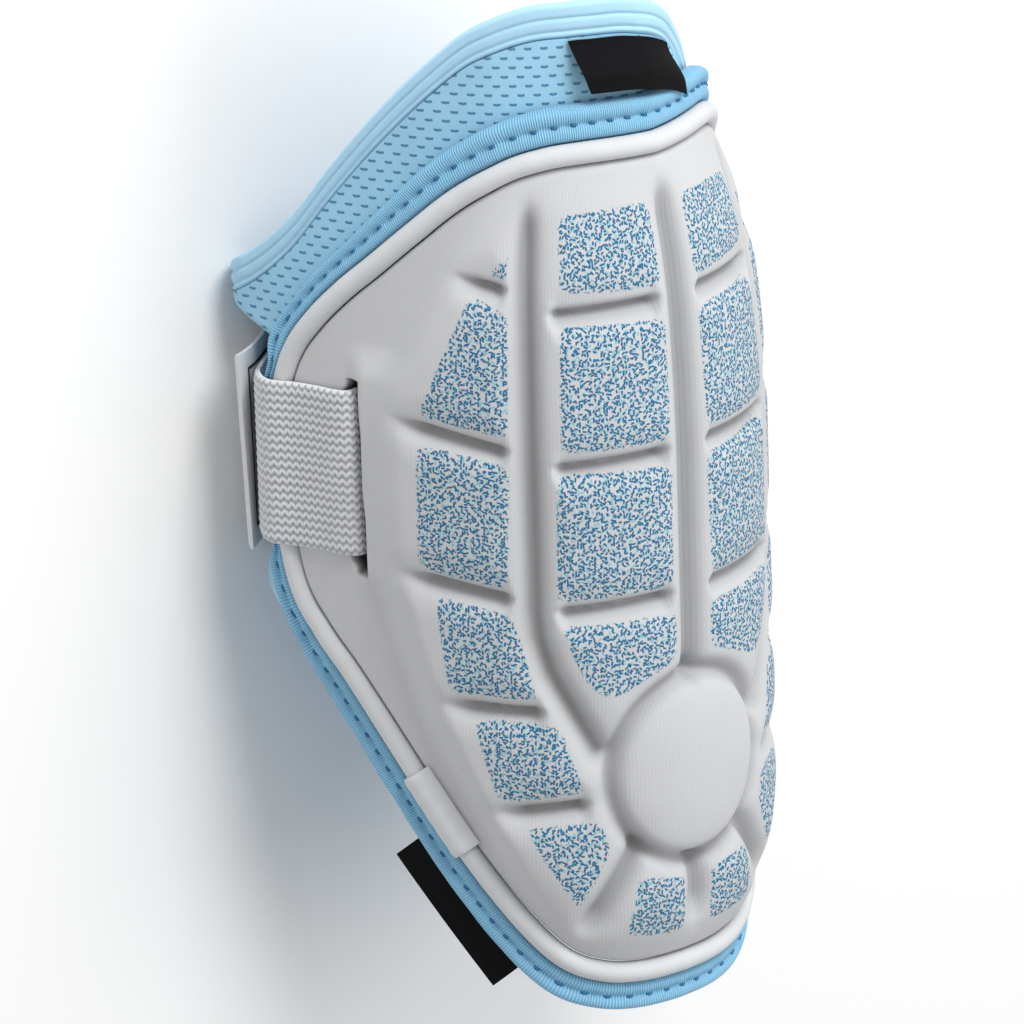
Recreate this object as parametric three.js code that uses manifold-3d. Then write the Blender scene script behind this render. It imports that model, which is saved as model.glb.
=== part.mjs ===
// A moulded elbow guard, lying on its strap with the padded face up.
// Lengths are in millimetres, +Z is up, and the arm runs along Y.
import * as THREE from "three";
import { mergeVertices } from "three/addons/utils/BufferGeometryUtils.js";
import Module from "manifold-3d";

const wasm = await Module();
wasm.setup();

// Places on the pad are given by three lengths. Across is measured round its face from the crown line,
// along is measured down the arm from its top edge, and proud is measured outwards from its flange.
const padLength = 198;
const padHalfWidth = 96.5;
const flangeThickness = 2.8;
const crownRadius = 46;
const crownAngle = THREE.MathUtils.degToRad(55);
const wingRadius = 144.5;
const topTaper = 3;
const sideTaper = 3;
const taperLength = 75;

// The ribbed field of pods stands above the flange, and valleys divide it.
const podRise = 6.5;
const fieldHalfWidth = 62;
const fieldShoulder = 13;
const topSlope = 40;
const bottomSlope = 22;
const valleyWidth = 6.4;
const valleyDepth = 2.9;
const longValleyAcross = 35;
const crossStart = 4.2;
const crossEnd = 31;
const rowAlong = [35.5, 71.5, 106.5];
const bossAlong = 150;
const bossRadius = 19.5;
const bossRise = 2.6;
const bossValleyWidth = 6;

const rimGap = 0.8;
const liningGap = 0.3;
const linerThickness = 1.5;
const beadRadius = 2.5;
const beadDrop = 1;
const bindingThickness = 3.8;
const bindingTuck = 0.8;
const bindingSideWidth = 4.6;
const bindingLowWidth = 6.2;
const bindingTopWidth = 8;
const bindingPinch = 2;
const pinchFade = 5;
const rimSleevePlace = 0.8;
const rimSleeveLength = 22;
const rimSleeveWall = 0.9;

// The sleeve hangs below the pad and lies flat on the ground.
const sleeveWall = 1.4;
const sleeveGap = 0.6;
const sleeveDrop = 13.7;
const sleeveCornerRadius = 20;
const mouthCornerRadius = 10;
const backEase = 13;
const tongueRise = 33.5;
const tongueShift = -16;
const sleeveBackTop = 42;
const sleeveBackBottom = 112;
const sleeveFrontBottom = 150;
const bandWidth = 8.4;
const bandThickness = 2.4;

const strapWidth = 40;
const strapThickness = 1.6;
const strapAlong = 78.5;
const slotAcross = 77.4;
const slotWidth = 6;
const slotLength = 46;
const slotLean = 1.4;
const slotLipRise = 2;
const slotLipFade = 6;
const tabWidth = 47.5;
const tabThickness = 1.6;
const tabGap = 0.6;
const tabBackReach = 22;
const tabStandLength = 12;
const tabStandOff = { upper: 1.8, lower: 0 };

const labelThickness = 0.8;
const topLabelSize = { length: 31, width: 11.6, round: -3.5, slant: 4 };
const sideLabelSize = { length: 41, width: 13.5, place: 0.89, out: 9 };
const clearance = 0.3;
const bendRise = 0.5;

const padColour = new THREE.Color(0xcdcfd2);
const blueColour = new THREE.Color(0x7bbce4);

// The pad's outline: places across it as shares of the half width, and the ends of its column there
// as shares of the length.
const outline = [
  { across: 0.0, top: 0.018, bottom: 1.0 },
  { across: 0.12, top: 0.018, bottom: 0.999 },
  { across: 0.21, top: 0.019, bottom: 0.993 },
  { across: 0.3, top: 0.023, bottom: 0.974 },
  { across: 0.4, top: 0.036, bottom: 0.925 },
  { across: 0.52, top: 0.068, bottom: 0.85 },
  { across: 0.64, top: 0.115, bottom: 0.764 },
  { across: 0.74, top: 0.157, bottom: 0.692 },
  { across: 0.82, top: 0.19, bottom: 0.638 },
  { across: 0.9, top: 0.23, bottom: 0.59 },
  { across: 0.96, top: 0.272, bottom: 0.54 },
  { across: 1.0, top: 0.332, bottom: 0.45 },
];

// The side edge of the ribbed field down the pad, as a share of the field's half width.
const fieldEdge = [
  { along: 0.0, edge: 0.6 },
  { along: 0.15, edge: 0.8 },
  { along: 0.31, edge: 1.0 },
  { along: 0.5, edge: 1.0 },
  { along: 0.66, edge: 0.87 },
  { along: 0.79, edge: 0.7 },
  { along: 1.0, edge: 0.4 },
];

// Each side column's cross valley: its outer and inner end, as shares of the half width and the length.
const sideValleys = [
  { acrossOut: 0.55, alongOut: 0.14, acrossIn: 0.4, alongIn: 0.157 },
  { acrossOut: 0.69, alongOut: 0.311, acrossIn: 0.4, alongIn: 0.346 },
  { acrossOut: 0.68, alongOut: 0.498, acrossIn: 0.4, alongIn: 0.526 },
  { acrossOut: 0.59, alongOut: 0.657, acrossIn: 0.34, alongIn: 0.665 },
  { acrossOut: 0.48, alongOut: 0.791, acrossIn: 0.25, alongIn: 0.781 },
];

// A smooth curve through a table's column, read at a share of its first column.
function readTable(table, key, column, share) {
  const at = Math.min(Math.max(share, table[0][key]), table[table.length - 1][key]);
  let i = 0;
  while (i < table.length - 2 && table[i + 1][key] < at) i += 1;
  const slope = (k) => {
    const a = table[Math.max(k - 1, 0)];
    const b = table[Math.min(k + 1, table.length - 1)];
    return (b[column] - a[column]) / (b[key] - a[key]);
  };
  const step = table[i + 1][key] - table[i][key];
  const u = (at - table[i][key]) / step;
  const start = table[i][column];
  const end = table[i + 1][column];
  const bend = (1 - u) * (slope(i) * step - end + start) - u * (slope(i + 1) * step - end + start);
  return start + (end - start) * u + u * (1 - u) * bend;
}

function columnEnd(across, end) {
  return padLength * readTable(outline, "across", end, Math.abs(across) / padHalfWidth);
}

const padTop = (across) => columnEnd(across, "top");
const padBottom = (across) => columnEnd(across, "bottom");

// How far the crown sinks towards the arm at the pad's top end: at its top, and halfway down its sides.
function taper(along, turned) {
  const sunk = topTaper * Math.max(0, Math.cos(turned)) + sideTaper * Math.max(0, Math.sin(2 * turned));
  return sunk * (1 - smooth(0, taperLength, along));
}

// The section curve of the pad's flange: a round crown that opens into flatter wings.
function padPoint(across, along, proud) {
  const side = Math.sign(across);
  const reach = Math.abs(across);
  const crownReach = crownRadius * crownAngle;
  const turned = reach < crownReach ? reach / crownRadius : crownAngle + (reach - crownReach) / wingRadius;
  const bent = Math.min(turned, crownAngle);
  let x = crownRadius * Math.sin(bent);
  let z = crownRadius * Math.cos(bent);
  if (turned > crownAngle) {
    x += wingRadius * (Math.sin(turned) - Math.sin(crownAngle));
    z += wingRadius * (Math.cos(turned) - Math.cos(crownAngle));
  }
  const out = proud - taper(along, turned);
  return new THREE.Vector3(side * (x + out * Math.sin(turned)), -along, z + out * Math.cos(turned));
}

// Rings of points joined into one closed solid, each ring having the same even count of points.
// An open run of rings ends in a ladder of faces between the two halves of the ring.
function skin(rings, closed) {
  const count = rings[0].length;
  const positions = rings.flat().flatMap((p) => [p.x, p.y, p.z]);
  const faces = [];
  const at = (ring, k) => (ring % rings.length) * count + (k % count);
  const quad = (a, b, c, d) => faces.push(a, b, c, a, c, d);
  for (let i = 0; i < (closed ? rings.length : rings.length - 1); i += 1) {
    for (let k = 0; k < count; k += 1) quad(at(i, k), at(i, k + 1), at(i + 1, k + 1), at(i + 1, k));
  }
  if (!closed) {
    for (let k = 0; k < count / 2 - 1; k += 1) {
      const ends = [k, k + 1, count - 2 - k, count - 1 - k];
      quad(...ends.map((e) => at(0, e)).reverse());
      quad(...ends.map((e) => at(rings.length - 1, e)));
    }
  }
  const geometry = new THREE.BufferGeometry();
  geometry.setAttribute("position", new THREE.Float32BufferAttribute(positions, 3));
  geometry.setIndex(faces);
  return facingOut(geometry);
}

// Turns the faces round where the solid would be inside out.
function facingOut(geometry) {
  const place = geometry.getAttribute("position");
  const index = geometry.index.array;
  const [a, b, c] = [new THREE.Vector3(), new THREE.Vector3(), new THREE.Vector3()];
  let volume = 0;
  for (let i = 0; i < index.length; i += 3) {
    a.fromBufferAttribute(place, index[i]);
    b.fromBufferAttribute(place, index[i + 1]);
    c.fromBufferAttribute(place, index[i + 2]);
    volume += a.dot(b.cross(c));
  }
  if (volume < 0) {
    for (let i = 0; i < index.length; i += 3) [index[i + 1], index[i + 2]] = [index[i + 2], index[i + 1]];
  }
  return geometry;
}

function toSolid(geometry) {
  const bare = geometry.clone();
  bare.deleteAttribute("normal");
  bare.deleteAttribute("uv");
  const merged = mergeVertices(bare, 1e-3);
  const vertProperties = new Float32Array(merged.getAttribute("position").array);
  const triVerts = new Uint32Array(merged.index.array);
  return new wasm.Manifold(new wasm.Mesh({ numProp: 3, vertProperties, triVerts }));
}

function toGeometry(solid) {
  const mesh = solid.getMesh();
  const geometry = new THREE.BufferGeometry();
  geometry.setAttribute("position", new THREE.Float32BufferAttribute(mesh.vertProperties, 3));
  geometry.setIndex([...mesh.triVerts]);
  return geometry;
}

const smooth = (from, to, value) => THREE.MathUtils.smoothstep(value, from, to);
const shares = (count) => Array.from({ length: count + 1 }, (_, i) => i / count);

// A slope that leaves the rim steeply and eases into the field.
const easeFrom = (distance, length) => 1 - (1 - THREE.MathUtils.clamp(distance / length, 0, 1)) ** 2.2;

// How far the face stands above the flange. The ribbed field has a shoulder along its sides
// and slopes at its ends.
function faceRise(across, along) {
  const edge = fieldHalfWidth * readTable(fieldEdge, "along", "edge", along / padLength);
  const side = 1 - smooth(edge, edge + fieldShoulder, Math.abs(across));
  const top = easeFrom(along - padTop(across), topSlope);
  const bottom = easeFrom(padBottom(across) - along, bottomSlope);
  return podRise * side * top * bottom + slotLip(across, along) * (1 - side);
}

// The face stands up in a low step beside each slot, on the side of the crown.
function slotLip(across, along) {
  const slotEdge = Math.abs(across) - slotAcross;
  const window = 1 - smooth(slotLength / 2, slotLength / 2 + slotLipFade, Math.abs(along - strapAlong));
  return slotLipRise * window * (1 - smooth(-slotWidth / 2, slotWidth / 2, slotEdge));
}

// A column of the pad at one place across: its outer face from top to bottom, and its inner face back again.
function padColumn(across, rows, outer, inner) {
  const along = shares(rows).map((v) => THREE.MathUtils.lerp(padTop(across), padBottom(across), v));
  const face = along.map((t) => padPoint(across, t, outer(across, t)));
  const back = along.map((t) => padPoint(across, t, inner)).reverse();
  return [...face, ...back];
}

// Places of the columns across the pad, closer together towards its sides, where its outline turns.
function padColumns(count) {
  const crowding = 0.35;
  return shares(count).map((u) => {
    const even = 2 * u - 1;
    return padHalfWidth * THREE.MathUtils.lerp(even, Math.sin((even * Math.PI) / 2), crowding);
  });
}

// A bar that follows the face along a path of places on it. Its section is a list of [sideways, proud].
function barAlong(path, section, closed) {
  const rings = path.map((place, i) => {
    const before = path[closed ? (i + path.length - 1) % path.length : Math.max(i - 1, 0)];
    const after = path[closed ? (i + 1) % path.length : Math.min(i + 1, path.length - 1)];
    const run = Math.hypot(after.across - before.across, after.along - before.along);
    const sideAcross = (after.along - before.along) / run;
    const sideAlong = -(after.across - before.across) / run;
    const shape = typeof section === "function" ? section(place, i) : section;
    return shape.map(([a, p]) => padPoint(place.across + a * sideAcross, place.along + a * sideAlong, p));
  });
  return skin(rings, closed);
}

// Even steps along a line between two places, or along a curve through several.
function pathThrough(places, steps) {
  const curve = new THREE.SplineCurve(places.map((p) => new THREE.Vector2(p.across, p.along)));
  return curve.getSpacedPoints(steps).map((p) => ({ across: p.x, along: p.y }));
}

// The tool that cuts a valley: narrow at its floor and open at the face.
function valley(path, width, closed) {
  const half = width / 2;
  const floorHalf = half * 0.35;
  const over = podRise + bossRise + 1;
  const section = (place) => {
    const face = faceRise(place.across, place.along);
    const floor = Math.max(face - valleyDepth, valleyDepth / 5);
    const left = [[-half, over], [-half, face], [-floorHalf, floor]];
    const right = [[floorHalf, floor], [half, face], [half, over]];
    return [...left, ...right];
  };
  return toSolid(barAlong(path, section, closed));
}

function bossCircle(radius, steps) {
  return Array.from({ length: steps }, (_, i) => {
    const angle = (i / steps) * 2 * Math.PI;
    return { across: radius * Math.sin(angle), along: bossAlong - radius * Math.cos(angle) };
  });
}

function valleyTools() {
  const tools = [];
  const place = (across, along) => ({ across, along });
  const add = (places, steps) => tools.push(valley(pathThrough(places, steps), valleyWidth, false));
  const ring = bossRadius + bossValleyWidth / 2;
  const end = topSlope / 4;
  const lowEnd = padLength - bottomSlope / 3;
  add([place(0, end), place(0, bossAlong - ring)], 10);
  add([place(0, bossAlong + ring), place(0, lowEnd)], 3);
  for (const side of [-1, 1]) {
    const edge = side * longValleyAcross;
    const turn = bossAlong - 2.1 * bossRadius;
    add([place(edge * 0.94, padTop(edge) + end / 2), place(edge, turn)], 6);
    const atBoss = place(side * ring * 0.96, bossAlong - ring * 0.28);
    add([place(edge, turn), place(edge * 0.93, turn + valleyWidth * 2), atBoss], 6);
    for (const along of rowAlong) add([place(side * crossStart, along), place(side * crossEnd, along)], 4);
    for (const row of sideValleys) {
      const outer = place(side * row.acrossOut * padHalfWidth, row.alongOut * padLength);
      const inner = place(side * row.acrossIn * padHalfWidth, row.alongIn * padLength);
      add([outer, inner], 3);
    }
    const underBoss = place(side * ring * 0.7, bossAlong + ring * 0.72);
    add([underBoss, place(side * longValleyAcross * 0.82, lowEnd)], 3);
  }
  tools.push(valley(bossCircle(ring, 28), bossValleyWidth, true));
  return tools;
}

// The round boss over the elbow's point: a low dome whose foot is sunk in the pad.
function bossSolid() {
  const rim = bossRadius + bossValleyWidth / 2;
  const foot = -flangeThickness * 0.9;
  const profile = [new THREE.Vector2(0, foot), new THREE.Vector2(rim, foot)];
  const shoulder = podRise * 0.2;
  const top = podRise + bossRise;
  for (const u of shares(4)) {
    const angle = (u * Math.PI) / 2;
    const height = shoulder + (top - shoulder) * Math.sin(angle);
    profile.push(new THREE.Vector2(rim * Math.cos(angle), height));
  }
  profile[profile.length - 1].x = 0;
  const dome = new THREE.LatheGeometry(profile, 28);
  dome.rotateX(Math.PI / 2);
  dome.translate(0, -bossAlong, crownRadius);
  return toSolid(dome);
}

function slotPath(side, steps) {
  return shares(steps).map((v) => ({
    across: side * (slotAcross + slotLean * (0.5 - v)),
    along: strapAlong + slotLength * (v - 0.5),
  }));
}

function slotTool(side) {
  const half = slotWidth / 2;
  const top = podRise + 2;
  const floor = -flangeThickness - 2;
  const section = [[-half, floor], [-half, top], [half, top], [half, floor]];
  return toSolid(barAlong(slotPath(side, 6), section, false));
}

function shellGeometry() {
  const rings = padColumns(26).map((across) => padColumn(across, 21, faceRise, -flangeThickness));
  let body = toSolid(skin(rings, false)).add(bossSolid());
  for (const tool of [...valleyTools(), slotTool(-1), slotTool(1)]) body = body.subtract(tool);
  return toGeometry(body);
}

function linerGeometry() {
  const outer = -flangeThickness - liningGap;
  const rings = padColumns(22).map((across) => padColumn(across, 9, () => outer, outer - linerThickness));
  return skin(rings, false);
}

// The pad's outline as one closed path, with even steps, starting at the top of the crown line.
function rimPath(steps) {
  const columns = shares(24).map((u) => Math.sin((u * Math.PI) / 2));
  const right = [
    ...columns.map((c) => new THREE.Vector2(c * padHalfWidth, padTop(c * padHalfWidth))),
    ...columns.map((c) => new THREE.Vector2(c * padHalfWidth, padBottom(c * padHalfWidth))).reverse(),
  ];
  const left = right.slice(1, -1).reverse().map((p) => new THREE.Vector2(-p.x, p.y));
  const corners = [...right, ...left].map((p) => new THREE.Vector3(p.x, p.y, 0));
  const loop = new THREE.CatmullRomCurve3(corners, true);
  return loop.getSpacedPoints(steps).slice(0, -1).map((p) => ({ across: p.x, along: p.y }));
}

const rimSteps = 56;

// A section that lies outside the rim: [outward, proud], outward from the pad's edge.
const beadCentre = rimGap + beadRadius;
const beadSection = (radius, steps, from, to) =>
  shares(steps).map((u) => {
    const angle = THREE.MathUtils.lerp(from, to, u);
    return [beadCentre + radius * Math.cos(angle), -beadDrop + radius * Math.sin(angle)];
  });

function rimBeadGeometry() {
  return barAlong(rimPath(rimSteps), beadSection(beadRadius, 8, 0, 2 * Math.PI).slice(0, -1), true);
}

// The tape's width outside the bead: wide over the top edge, and narrowest where the strap pinches it.
function bindingWidth(place) {
  const topness = 1 - smooth(0, padLength * 0.25, place.along);
  const lowness = smooth(padLength * 0.5, padLength * 0.65, place.along);
  const side = THREE.MathUtils.lerp(bindingSideWidth, bindingLowWidth, lowness);
  const offStrap = Math.abs(place.along - strapAlong) - strapWidth / 2;
  const pinch = bindingPinch * (1 - smooth(0, pinchFade, offStrap));
  return THREE.MathUtils.lerp(side, bindingTopWidth, topness) - pinch;
}

const bindingUnder = -beadDrop - beadRadius - clearance;
const bindingStart = rimGap + 2 * beadRadius + clearance;
const bindingLow = bindingUnder - bindingTuck;
const bindingHigh = bindingLow + bindingThickness;

function bindingSection(place) {
  const inner = rimGap;
  const start = bindingStart;
  const end = start + bindingWidth(place);
  const [low, high] = [bindingLow, bindingHigh];
  return [
    [inner, bindingUnder],
    [start, bindingUnder],
    [start, high - 0.6],
    [start + 1, high],
    [end - 1, high - 0.5],
    [end, high - 1.8],
    [end, low + 0.8],
    [end - 1, low],
    [start, low],
    [inner, low],
  ];
}

function bindingGeometry() {
  return barAlong(rimPath(rimSteps), bindingSection, true);
}

// A stretch of the rim's left lower half, with its middle at a place along the pad.
function rimStretch(along, length, steps) {
  const left = rimPath(240).filter((p) => p.across < 0 && p.along > padLength / 2);
  const middle = left.find((p) => p.along < along);
  const near = left.filter((p) => Math.hypot(p.across - middle.across, p.along - middle.along) < length / 2);
  return shares(steps).map((v) => near[Math.round(v * (near.length - 1))]);
}

function rimSleeveGeometry() {
  const from = Math.PI * 0.06;
  const to = Math.PI * 0.7;
  const inner = beadSection(beadRadius + clearance, 5, from, to);
  const outer = beadSection(beadRadius + clearance + rimSleeveWall, 5, from, to).reverse();
  return barAlong(rimStretch(padLength * rimSleevePlace, rimSleeveLength, 4), [...inner, ...outer], false);
}

// The rim's lowest place is beside the strap, and the sleeve's back hangs below it.
const rimReach = padHalfWidth + 2 * beadRadius;
const rimLow = padPoint(rimReach + bindingSideWidth, strapAlong, 0).z;
const sleeveDepth = sleeveDrop - rimLow;
const sleeveInset = flangeThickness + liningGap + linerThickness + sleeveGap;
const backLift = tabThickness + strapThickness + tabGap + clearance;

// The strap passes under the sleeve's back, so the back is lifted there and lies on the ground beyond it.
function strapPull(along) {
  const off = Math.abs(along - strapAlong) - tabWidth / 2;
  return 1 - smooth(0, backEase, off);
}

// The sleeve's section at a place along it: the lengths and radii of its crown, wing, corner and flat back.
function sleeveSection(along) {
  const depth = sleeveDepth + backLift * (1 - strapPull(along));
  const mouth = along < strapAlong ? 1 - strapPull(along) : 0;
  const corner = THREE.MathUtils.lerp(sleeveCornerRadius, mouthCornerRadius, mouth);
  const crown = crownRadius - sleeveInset;
  const wing = wingRadius - sleeveInset;
  const start = crown * Math.cos(crownAngle);
  // The heading where the wing ends, so that a corner of this radius just reaches the ground.
  const low = (depth - corner + start - wing * Math.cos(crownAngle)) / (corner - wing);
  const heading = Math.acos(THREE.MathUtils.clamp(low, 0, Math.cos(crownAngle)));
  const reach = crown * Math.sin(crownAngle) + wing * (Math.sin(heading) - Math.sin(crownAngle));
  const flat = reach - corner * Math.sin(heading);
  const lengths = [crown * crownAngle, wing * (heading - crownAngle), corner * (Math.PI - heading), flat];
  return { lengths, bends: [crown, wing, corner, Infinity], crown };
}

const halfRound = (along) => sleeveSection(along).lengths.reduce((a, b) => a + b);

function sleevePoint(share, along, proud) {
  const { lengths, bends, crown } = sleeveSection(along);
  let left = (share < 0.5 ? share : 1 - share) * 2 * lengths.reduce((a, b) => a + b);
  let x = 0;
  let z = crown;
  let turned = 0;
  for (let i = 0; i < 4; i += 1) {
    const run = Math.min(left, lengths[i]);
    const end = turned + run / bends[i];
    x += bends[i] === Infinity ? -run : bends[i] * (Math.sin(end) - Math.sin(turned));
    z += bends[i] === Infinity ? 0 : bends[i] * (Math.cos(end) - Math.cos(turned));
    turned = end;
    left -= run;
  }
  const side = share < 0.5 ? 1 : -1;
  const out = proud - taper(along, turned);
  return new THREE.Vector3(side * (x + out * Math.sin(turned)), -along, z + out * Math.cos(turned));
}

// The mouths' edges round the sleeve: how far each reaches from its place at the back to its place in front.
// Round runs from the front to the back, and the upper mouth's front is at the tongue's peak.
const mouths = [
  { round: 0.0, rise: 1.0, fall: 1.0 },
  { round: 0.08, rise: 0.99, fall: 1.0 },
  { round: 0.16, rise: 0.93, fall: 1.0 },
  { round: 0.22, rise: 0.83, fall: 1.0 },
  { round: 0.3, rise: 0.66, fall: 1.0 },
  { round: 0.38, rise: 0.46, fall: 0.99 },
  { round: 0.45, rise: 0.27, fall: 0.85 },
  { round: 0.52, rise: 0.14, fall: 0.5 },
  { round: 0.58, rise: 0.08, fall: 0.26 },
  { round: 0.7, rise: 0.02, fall: 0.05 },
  { round: 1.0, rise: 0.0, fall: 0.0 },
];

const roundShare = (share) => 1 - Math.abs(1 - 2 * (share - Math.floor(share)));

function mouthTop(share) {
  const shifted = share - tongueShift / (2 * halfRound(sleeveBackTop));
  const rise = readTable(mouths, "round", "rise", roundShare(shifted));
  return sleeveBackTop - (sleeveBackTop + tongueRise) * rise;
}

function mouthBottom(share) {
  const fall = readTable(mouths, "round", "fall", roundShare(share));
  return sleeveBackBottom + (sleeveFrontBottom - sleeveBackBottom) * fall;
}

// A stretch of the sleeve between two edges, as a wall with an outer and an inner face.
function sleeveWallGeometry(around, rows, from, to, outer, inner) {
  const rings = shares(around).slice(0, -1).map((share) => {
    const along = shares(rows).map((v) => THREE.MathUtils.lerp(from(share), to(share), v));
    const face = along.map((t) => sleevePoint(share, t, outer));
    const back = along.map((t) => sleevePoint(share, t, inner)).reverse();
    return [...face, ...back];
  });
  return skin(rings, true);
}

const bandEnd = bandWidth + clearance;

function sleeveGeometry() {
  const from = (share) => mouthTop(share) + bandEnd;
  const to = (share) => mouthBottom(share) - bandEnd;
  return sleeveWallGeometry(48, 6, from, to, 0, -sleeveWall);
}

function topBandGeometry() {
  return sleeveWallGeometry(48, 1, mouthTop, (s) => mouthTop(s) + bandWidth, 0, -bandThickness);
}

function lowerBandGeometry() {
  return sleeveWallGeometry(48, 1, (s) => mouthBottom(s) - bandWidth, mouthBottom, 0, -bandThickness);
}

// The strap's middle line in the plane across the arm: out of a slot, over the rim and round the back.
const ground = -(sleeveDepth + backLift);

function strapSide(side, lift, shift) {
  const across = slotAcross + shift;
  const onFlange = strapThickness / 2 + clearance;
  const overRim = beadRadius - beadDrop + onFlange + clearance / 2;
  const beadOver = (beadRadius + onFlange + clearance) * Math.SQRT1_2;
  const at = (out, proud) => padPoint(side * out, strapAlong, proud).setY(0);
  const points = [
    at(across, -flangeThickness + clearance),
    at(across, -flangeThickness / 4),
    at(across + slotWidth * 0.2, onFlange),
    at(across + slotWidth * 0.65, onFlange + bendRise),
    at(across + slotWidth * 1.6, onFlange),
    at(padHalfWidth - beadRadius * 1.4, onFlange + 0.2),
    at(padHalfWidth + beadRadius, overRim),
    at(padHalfWidth + beadCentre + beadOver, beadOver - beadDrop),
    at(pinchedEnd - 1, bindingHigh + onFlange),
    at(pinchedEnd + onFlange * 0.8, bindingHigh - onFlange * 0.75),
  ];
  const centre = { x: sleeveSection(strapAlong).lengths[3], z: sleeveCornerRadius - sleeveDepth };
  const radius = centre.z - (ground + strapThickness / 2 + lift);
  for (const angle of cornerAngles) points.push(aroundCorner(side, centre, radius, angle));
  return points;
}

// The strap hugs the sleeve's corner from here to the back. An angle of 90 is straight below the centre.
const cornerAngles = [52, 64, 77, 90];

function aroundCorner(side, centre, radius, angle) {
  const turn = THREE.MathUtils.degToRad(angle);
  const x = side * (centre.x + radius * Math.cos(turn));
  return new THREE.Vector3(x, 0, centre.z - radius * Math.sin(turn));
}

// The binding's outer edge under the strap.
const pinchedEnd = padHalfWidth + bindingStart + bindingSideWidth - bindingPinch;

const tabLift = tabThickness + tabGap;

function strapLine(shift) {
  const left = strapSide(-1, tabLift, shift);
  const right = strapSide(1, 0, shift).reverse();
  const low = ground + strapThickness / 2;
  const step = 5;
  const end = -tabBackReach;
  const back = [
    new THREE.Vector3(end, 0, low + tabLift),
    new THREE.Vector3(end + step, 0, low + tabLift),
    ...[3, 4, 5, 8].map((n) => new THREE.Vector3(end + n * step, 0, low)),
  ];
  return new THREE.CatmullRomCurve3([...left, ...back, ...right], false, "centripetal");
}

// Places of a line across the arm, moved sideways from it towards the arm (below zero) or away from it.
function moved(line, offset) {
  return line.map((point, i) => {
    const run = line[Math.min(i + 1, line.length - 1)].clone().sub(line[Math.max(i - 1, 0)]).normalize();
    return new THREE.Vector3(point.x + run.z * offset, 0, point.z - run.x * offset);
  });
}

// A flat band across the arm between its upper edge's line and its lower edge's line.
function flatBand(upper, lower, width, thickness) {
  const half = thickness / 2;
  const edge = (line, offset, along) => moved(line, offset).map((p) => p.setY(-along));
  const [top, bottom] = [strapAlong - width / 2, strapAlong + width / 2];
  const outside = [edge(upper, half, top), edge(lower, half, bottom)];
  const inside = [edge(lower, -half, bottom), edge(upper, -half, top)];
  const sides = [...outside, ...inside];
  return skin(upper.map((_, i) => sides.map((side) => side[i])), false);
}

const strapSteps = 56;

function strapGeometry() {
  const shift = (slotLean * strapWidth) / slotLength / 2;
  const [upper, lower] = [shift, -shift].map((s) => strapLine(s).getSpacedPoints(strapSteps));
  return flatBand(upper, lower, strapWidth, strapThickness);
}

// The tab lies outside the strap, and its upper end stands off it.
function hookTabGeometry() {
  const points = strapLine(0).getSpacedPoints(strapSteps * 2);
  const apart = (strapThickness + tabThickness) / 2 + tabGap;
  const first = points.findIndex((p) => p.x < 0 && p.z < rimLow - tabStandLength / 2);
  const last = points.findIndex((p) => p.z < ground + backLift && p.x > -tabBackReach);
  const close = moved(points.slice(first, last), apart);
  const heading = close[0].clone().sub(close[3]).normalize();
  const away = new THREE.Vector3(heading.z, 0, -heading.x).multiplyScalar(heading.x > 0 ? 1 : -1);
  const standing = (standOff) => shares(5).slice(1).reverse().map((v) => {
    const straight = close[0].clone().addScaledVector(heading, tabStandLength * v);
    return straight.addScaledVector(away, standOff * v * v);
  });
  const upper = [...standing(tabStandOff.upper), ...close];
  const lower = [...standing(tabStandOff.lower), ...close];
  return flatBand(upper, lower, tabWidth, tabThickness);
}

// A plain label that hangs from the band over the tongue and stands off it, with its end over the binding.
function topLabelGeometry() {
  const { length, width, round, slant } = topLabelSize;
  const standOff = sleeveInset + bindingHigh;
  const whole = 2 * halfRound(-tongueRise);
  const rings = shares(6).map((u) => {
    const at = (v, depth) => {
      const share = (1 + (round + length * (u - 0.5) + slant * (1 - u) * v) / whole) % 1;
      const proud = clearance + standOff * Math.min(1, 1.5 * v);
      return sleevePoint(share, mouthTop(share) + bandEnd + width * v, proud + depth);
    };
    const down = shares(3);
    return [...down.map((v) => at(v, labelThickness)), ...down.map((v) => at(v, 0)).reverse()];
  });
  return skin(rings, false);
}

// A plain straight label that is caught behind the binding and sticks out past it.
function sideLabelGeometry() {
  const { length, width, place, out } = sideLabelSize;
  const high = bindingLow - clearance;
  const low = high - labelThickness;
  const section = [[out, low], [out, high], [out + width, high], [out + width, low]];
  const [start, end] = rimStretch(padLength * place, length, 1);
  const places = shares(5).map((v) => ({
    across: THREE.MathUtils.lerp(start.across, end.across, v),
    along: THREE.MathUtils.lerp(start.along, end.along, v),
  }));
  return barAlong(places, section, false);
}

const finishes = {
  shell: [padColour, 0.85],
  rim_bead: [padColour, 0.7],
  rim_sleeve: [padColour, 0.75],
  edge_binding: [blueColour, 0.85],
  liner: [blueColour, 0.9],
  sleeve: [new THREE.Color(0x9bcdeb), 0.85],
  top_band: [new THREE.Color(0xaad7f0), 0.7],
  lower_band: [new THREE.Color(0xaad7f0), 0.7],
  strap: [new THREE.Color(0xd0d1d6), 0.9],
  hook_tab: [new THREE.Color(0xb9bcc4), 0.9],
  top_label: [new THREE.Color(0x101013), 0.6],
  side_label: [new THREE.Color(0x101013), 0.6],
};

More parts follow.
